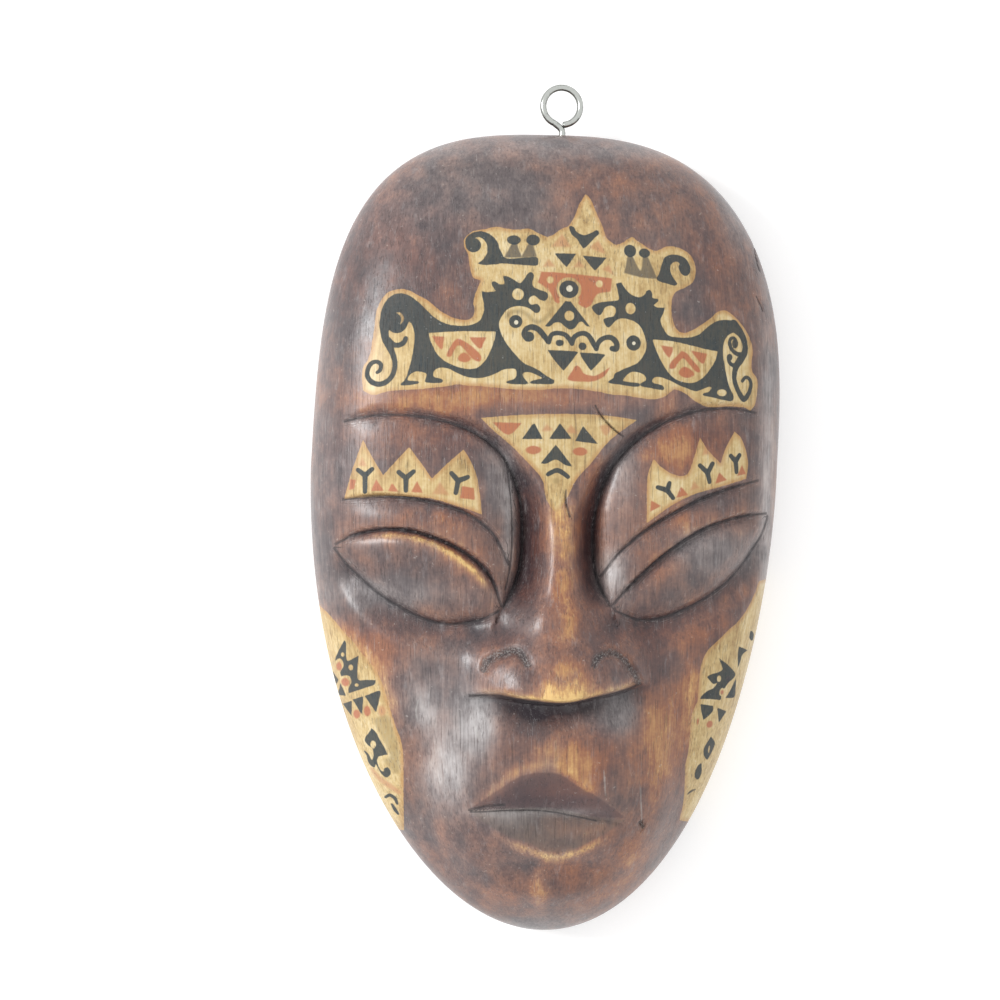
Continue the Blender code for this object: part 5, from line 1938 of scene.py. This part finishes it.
def wood_marks(finish):
    """What varies over the wood: noises, the stored stain, dull lacquer and painted sheen, scratched
    lacquer, pores and dust.
    """
    marks = {name: finish.noise(*look) for name, look in WOOD_NOISES.items()}
    marks["even"] = 1.0
    for name in ("tone", "warmth"):
        marks[name] = finish.attribute(name)
    # Grey sheen: partly worn lacquer, partly painted highlight.
    marks["veil"] = finish.attribute("veil") * weighed(marks, SHEEN_AND_WEAR_STREAKS)
    marks["pore"] = finish.rise(marks["pores"], "pore")
    marks["dust"] = finish.rise(marks["speck"], "dust")
    streaks = [finish.lane_noise(turn, SCRATCH_SCALE, start, 1) for turn, start in SCRATCH_SETS]
    marks["scratch"] = sum(finish.rise(streak, "scratch") for streak in streaks).clamped()
    marks["smear"] = finish.rise(finish.lane_noise(SMEAR_TURN, SMEAR_SCALE, 0, *SMEAR_NOISE), "smear")
    add_line_marks(finish, marks)
    return marks


def stain_colour(finish, marks):
    """Brown stain, warm or cool, rubbed golden on the crests, with painted shade darkening the hollows."""
    close = finish.attribute("hollow_close")
    wide = finish.attribute("hollow_wide")
    # Painted shade in the hollows, from how far each place lies below its surroundings.
    marks["hollow"] = (close * HOLLOW_SHADE_CLOSE).clamped() + (wide * HOLLOW_SHADE_WIDE).clamped()
    worn = finish.attribute("worn") * weighed(marks, RUBBED)
    marks["rubbed"] = (worn + (close * CREST_RUB).clamped()).clamped()
    depth = weighed(marks, DEPTH).clamped()
    warm = weighed(marks, WARMTH).clamped()
    return finish.mixed(warm, finish.ramp(depth, COOL_STOPS), finish.ramp(depth, WARM_STOPS))


def bared(finish, colour, marks, wobble):
    """The colour, and bare wood with a burnt edge where the stain was kept off; adds its mark."""
    edge = finish.attribute("bare") + wobble * BARE_WOBBLE
    marks["bare"] = finish.rise(edge, "bare")
    burnt = finish.rise(edge, "burnt") * weighed(marks, BURNT).clamped()
    pale = finish.ramp(weighed(marks, BARE_SHADE).clamped(), BARE_STOPS)
    return finish.mixed(marks["bare"], colour, finish.mixed(burnt, pale, BURNT_EDGE))


def painted(finish, colour, marks, wobble):
    """The colour under every paint, laid thinly and unevenly; adds each paint's mark."""
    uneven = weighed(marks, THINNING)
    for name, paint in PAINTS.items():
        edge = finish.attribute(name) + wobble * PAINT_WOBBLE
        cover = uneven * min(FULL_COVER - paint.cover, MOST_THINNING) + paint.cover
        marks[name] = finish.between(edge, paint.softness, -paint.softness) * cover.clamped()
        colour = finish.mixed(marks[name], colour, paint.colour)
    return colour


def layered(finish, colour, marks, layers):
    """The colour under thin layers, each as strong as its mark."""
    for name, layer, cover in layers:
        colour = finish.mixed(marks[name] * cover, colour, layer)
    return colour


def stained_wood():
    """Stained and lacquered wood with bare and painted ornament."""
    finish = Finish("stained_wood")
    marks = wood_marks(finish)
    wobble = weighed(marks, WOBBLE)
    colour = layered(finish, stain_colour(finish, marks), marks, STAIN_LAYERS)
    colour = painted(finish, bared(finish, colour, marks, wobble), marks, wobble)
    colour = layered(finish, colour, marks, TOP_LAYERS)
    finish.set(Base_Color=colour, Roughness=weighed(marks, ROUGHNESS).clamped(), IOR=LACQUER_IOR)
    finish.set(Coat_Weight=weighed(marks, GLOSS).clamped(), Coat_Roughness=LACQUER_ROUGHNESS)
    finish.set_relief(weighed(marks, RELIEF), *WOOD_BUMP)
    return finish.material


def plated_steel():
    """Bright nickel-plated wire, soiled in places and darker on its flanks, where a dark reflection is
    painted.
    """
    finish = Finish("plated_steel")
    marks = {name: finish.noise(*look) for name, look in STEEL_NOISES.items()}
    marks["even"] = 1.0
    marks["soil"] = finish.rise(marks["haze"], "soil")
    # Painted dark reflection on the wire's flanks.
    marks["flank_shade"] = finish.rise(finish.attribute("flank") + marks["haze"] * FLANK_HAZE, "flank_shade")
    colour = finish.mixed(weighed(marks, STEEL_SOILED_AND_SHADED), STEEL, STEEL_SOIL_AND_SHADE)
    finish.set(Base_Color=colour, Metallic=1.0, Roughness=weighed(marks, STEEL_ROUGHNESS))
    finish.set_relief(weighed(marks, STEEL_RELIEF), *STEEL_BUMP)
    return finish.material


def white_table():
    """A large white table under the mask, in a shadowless white room."""
    shape = bmesh.new()
    bmesh.ops.create_grid(shape, x_segments=1, y_segments=1, size=TABLE_REACH)
    mesh = finished_mesh(shape, "white_table")
    finish = Finish("white_card")
    finish.set(Base_Color=TABLE_WHITE, Roughness=TABLE_ROUGHNESS)
    finish.set(Emission_Color=TABLE_WHITE, Emission_Strength=TABLE_GLOW)
    mesh.materials.append(finish.material)
    table = bpy.data.objects.new("white_table", mesh)
    bpy.context.scene.collection.objects.link(table)


def soft_lights():
    """White surroundings and one large soft lamp from the upper left."""
    world = bpy.data.worlds.new("white_room")
    world.use_nodes = True
    background = world.node_tree.nodes["Background"]
    background.inputs["Color"].default_value = (*ROOM_WHITE, 1)
    background.inputs["Strength"].default_value = ROOM_STRENGTH
    bpy.context.scene.world = world
    for name, place, size, power in LAMPS:
        lamp = bpy.data.lights.new(name, "AREA")
        lamp.shape = "DISK"
        lamp.size = size
        lamp.energy = power
        holder = bpy.data.objects.new(name, lamp)
        holder.location = place
        holder.rotation_euler = (-Vector(place)).to_track_quat("-Z", "Y").to_euler()
        bpy.context.scene.collection.objects.link(holder)


def photo_camera():
    """The photograph's camera."""
    view = bpy.data.cameras.new("photo_camera")
    view.sensor_width = SENSOR
    view.lens = CAMERA_DISTANCE / PIXEL / PHOTO_SIZE * SENSOR
    view.clip_start = NEAR_CLIP
    camera = bpy.data.objects.new("photo_camera", view)
    place = Matrix.Translation(Vector(camera_place()) + wood_middle())
    camera.matrix_world = place @ Matrix.Rotation(-CAMERA_TILT, 4, "Y")
    bpy.context.scene.collection.objects.link(camera)
    bpy.context.scene.camera = camera


def main():
    """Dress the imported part, light it and place the camera."""
    photo_camera()
    stained_mask()
    steel_screw_eye()
    white_table()
    soft_lights()
    bpy.context.scene.view_settings.view_transform = "Standard"


main()
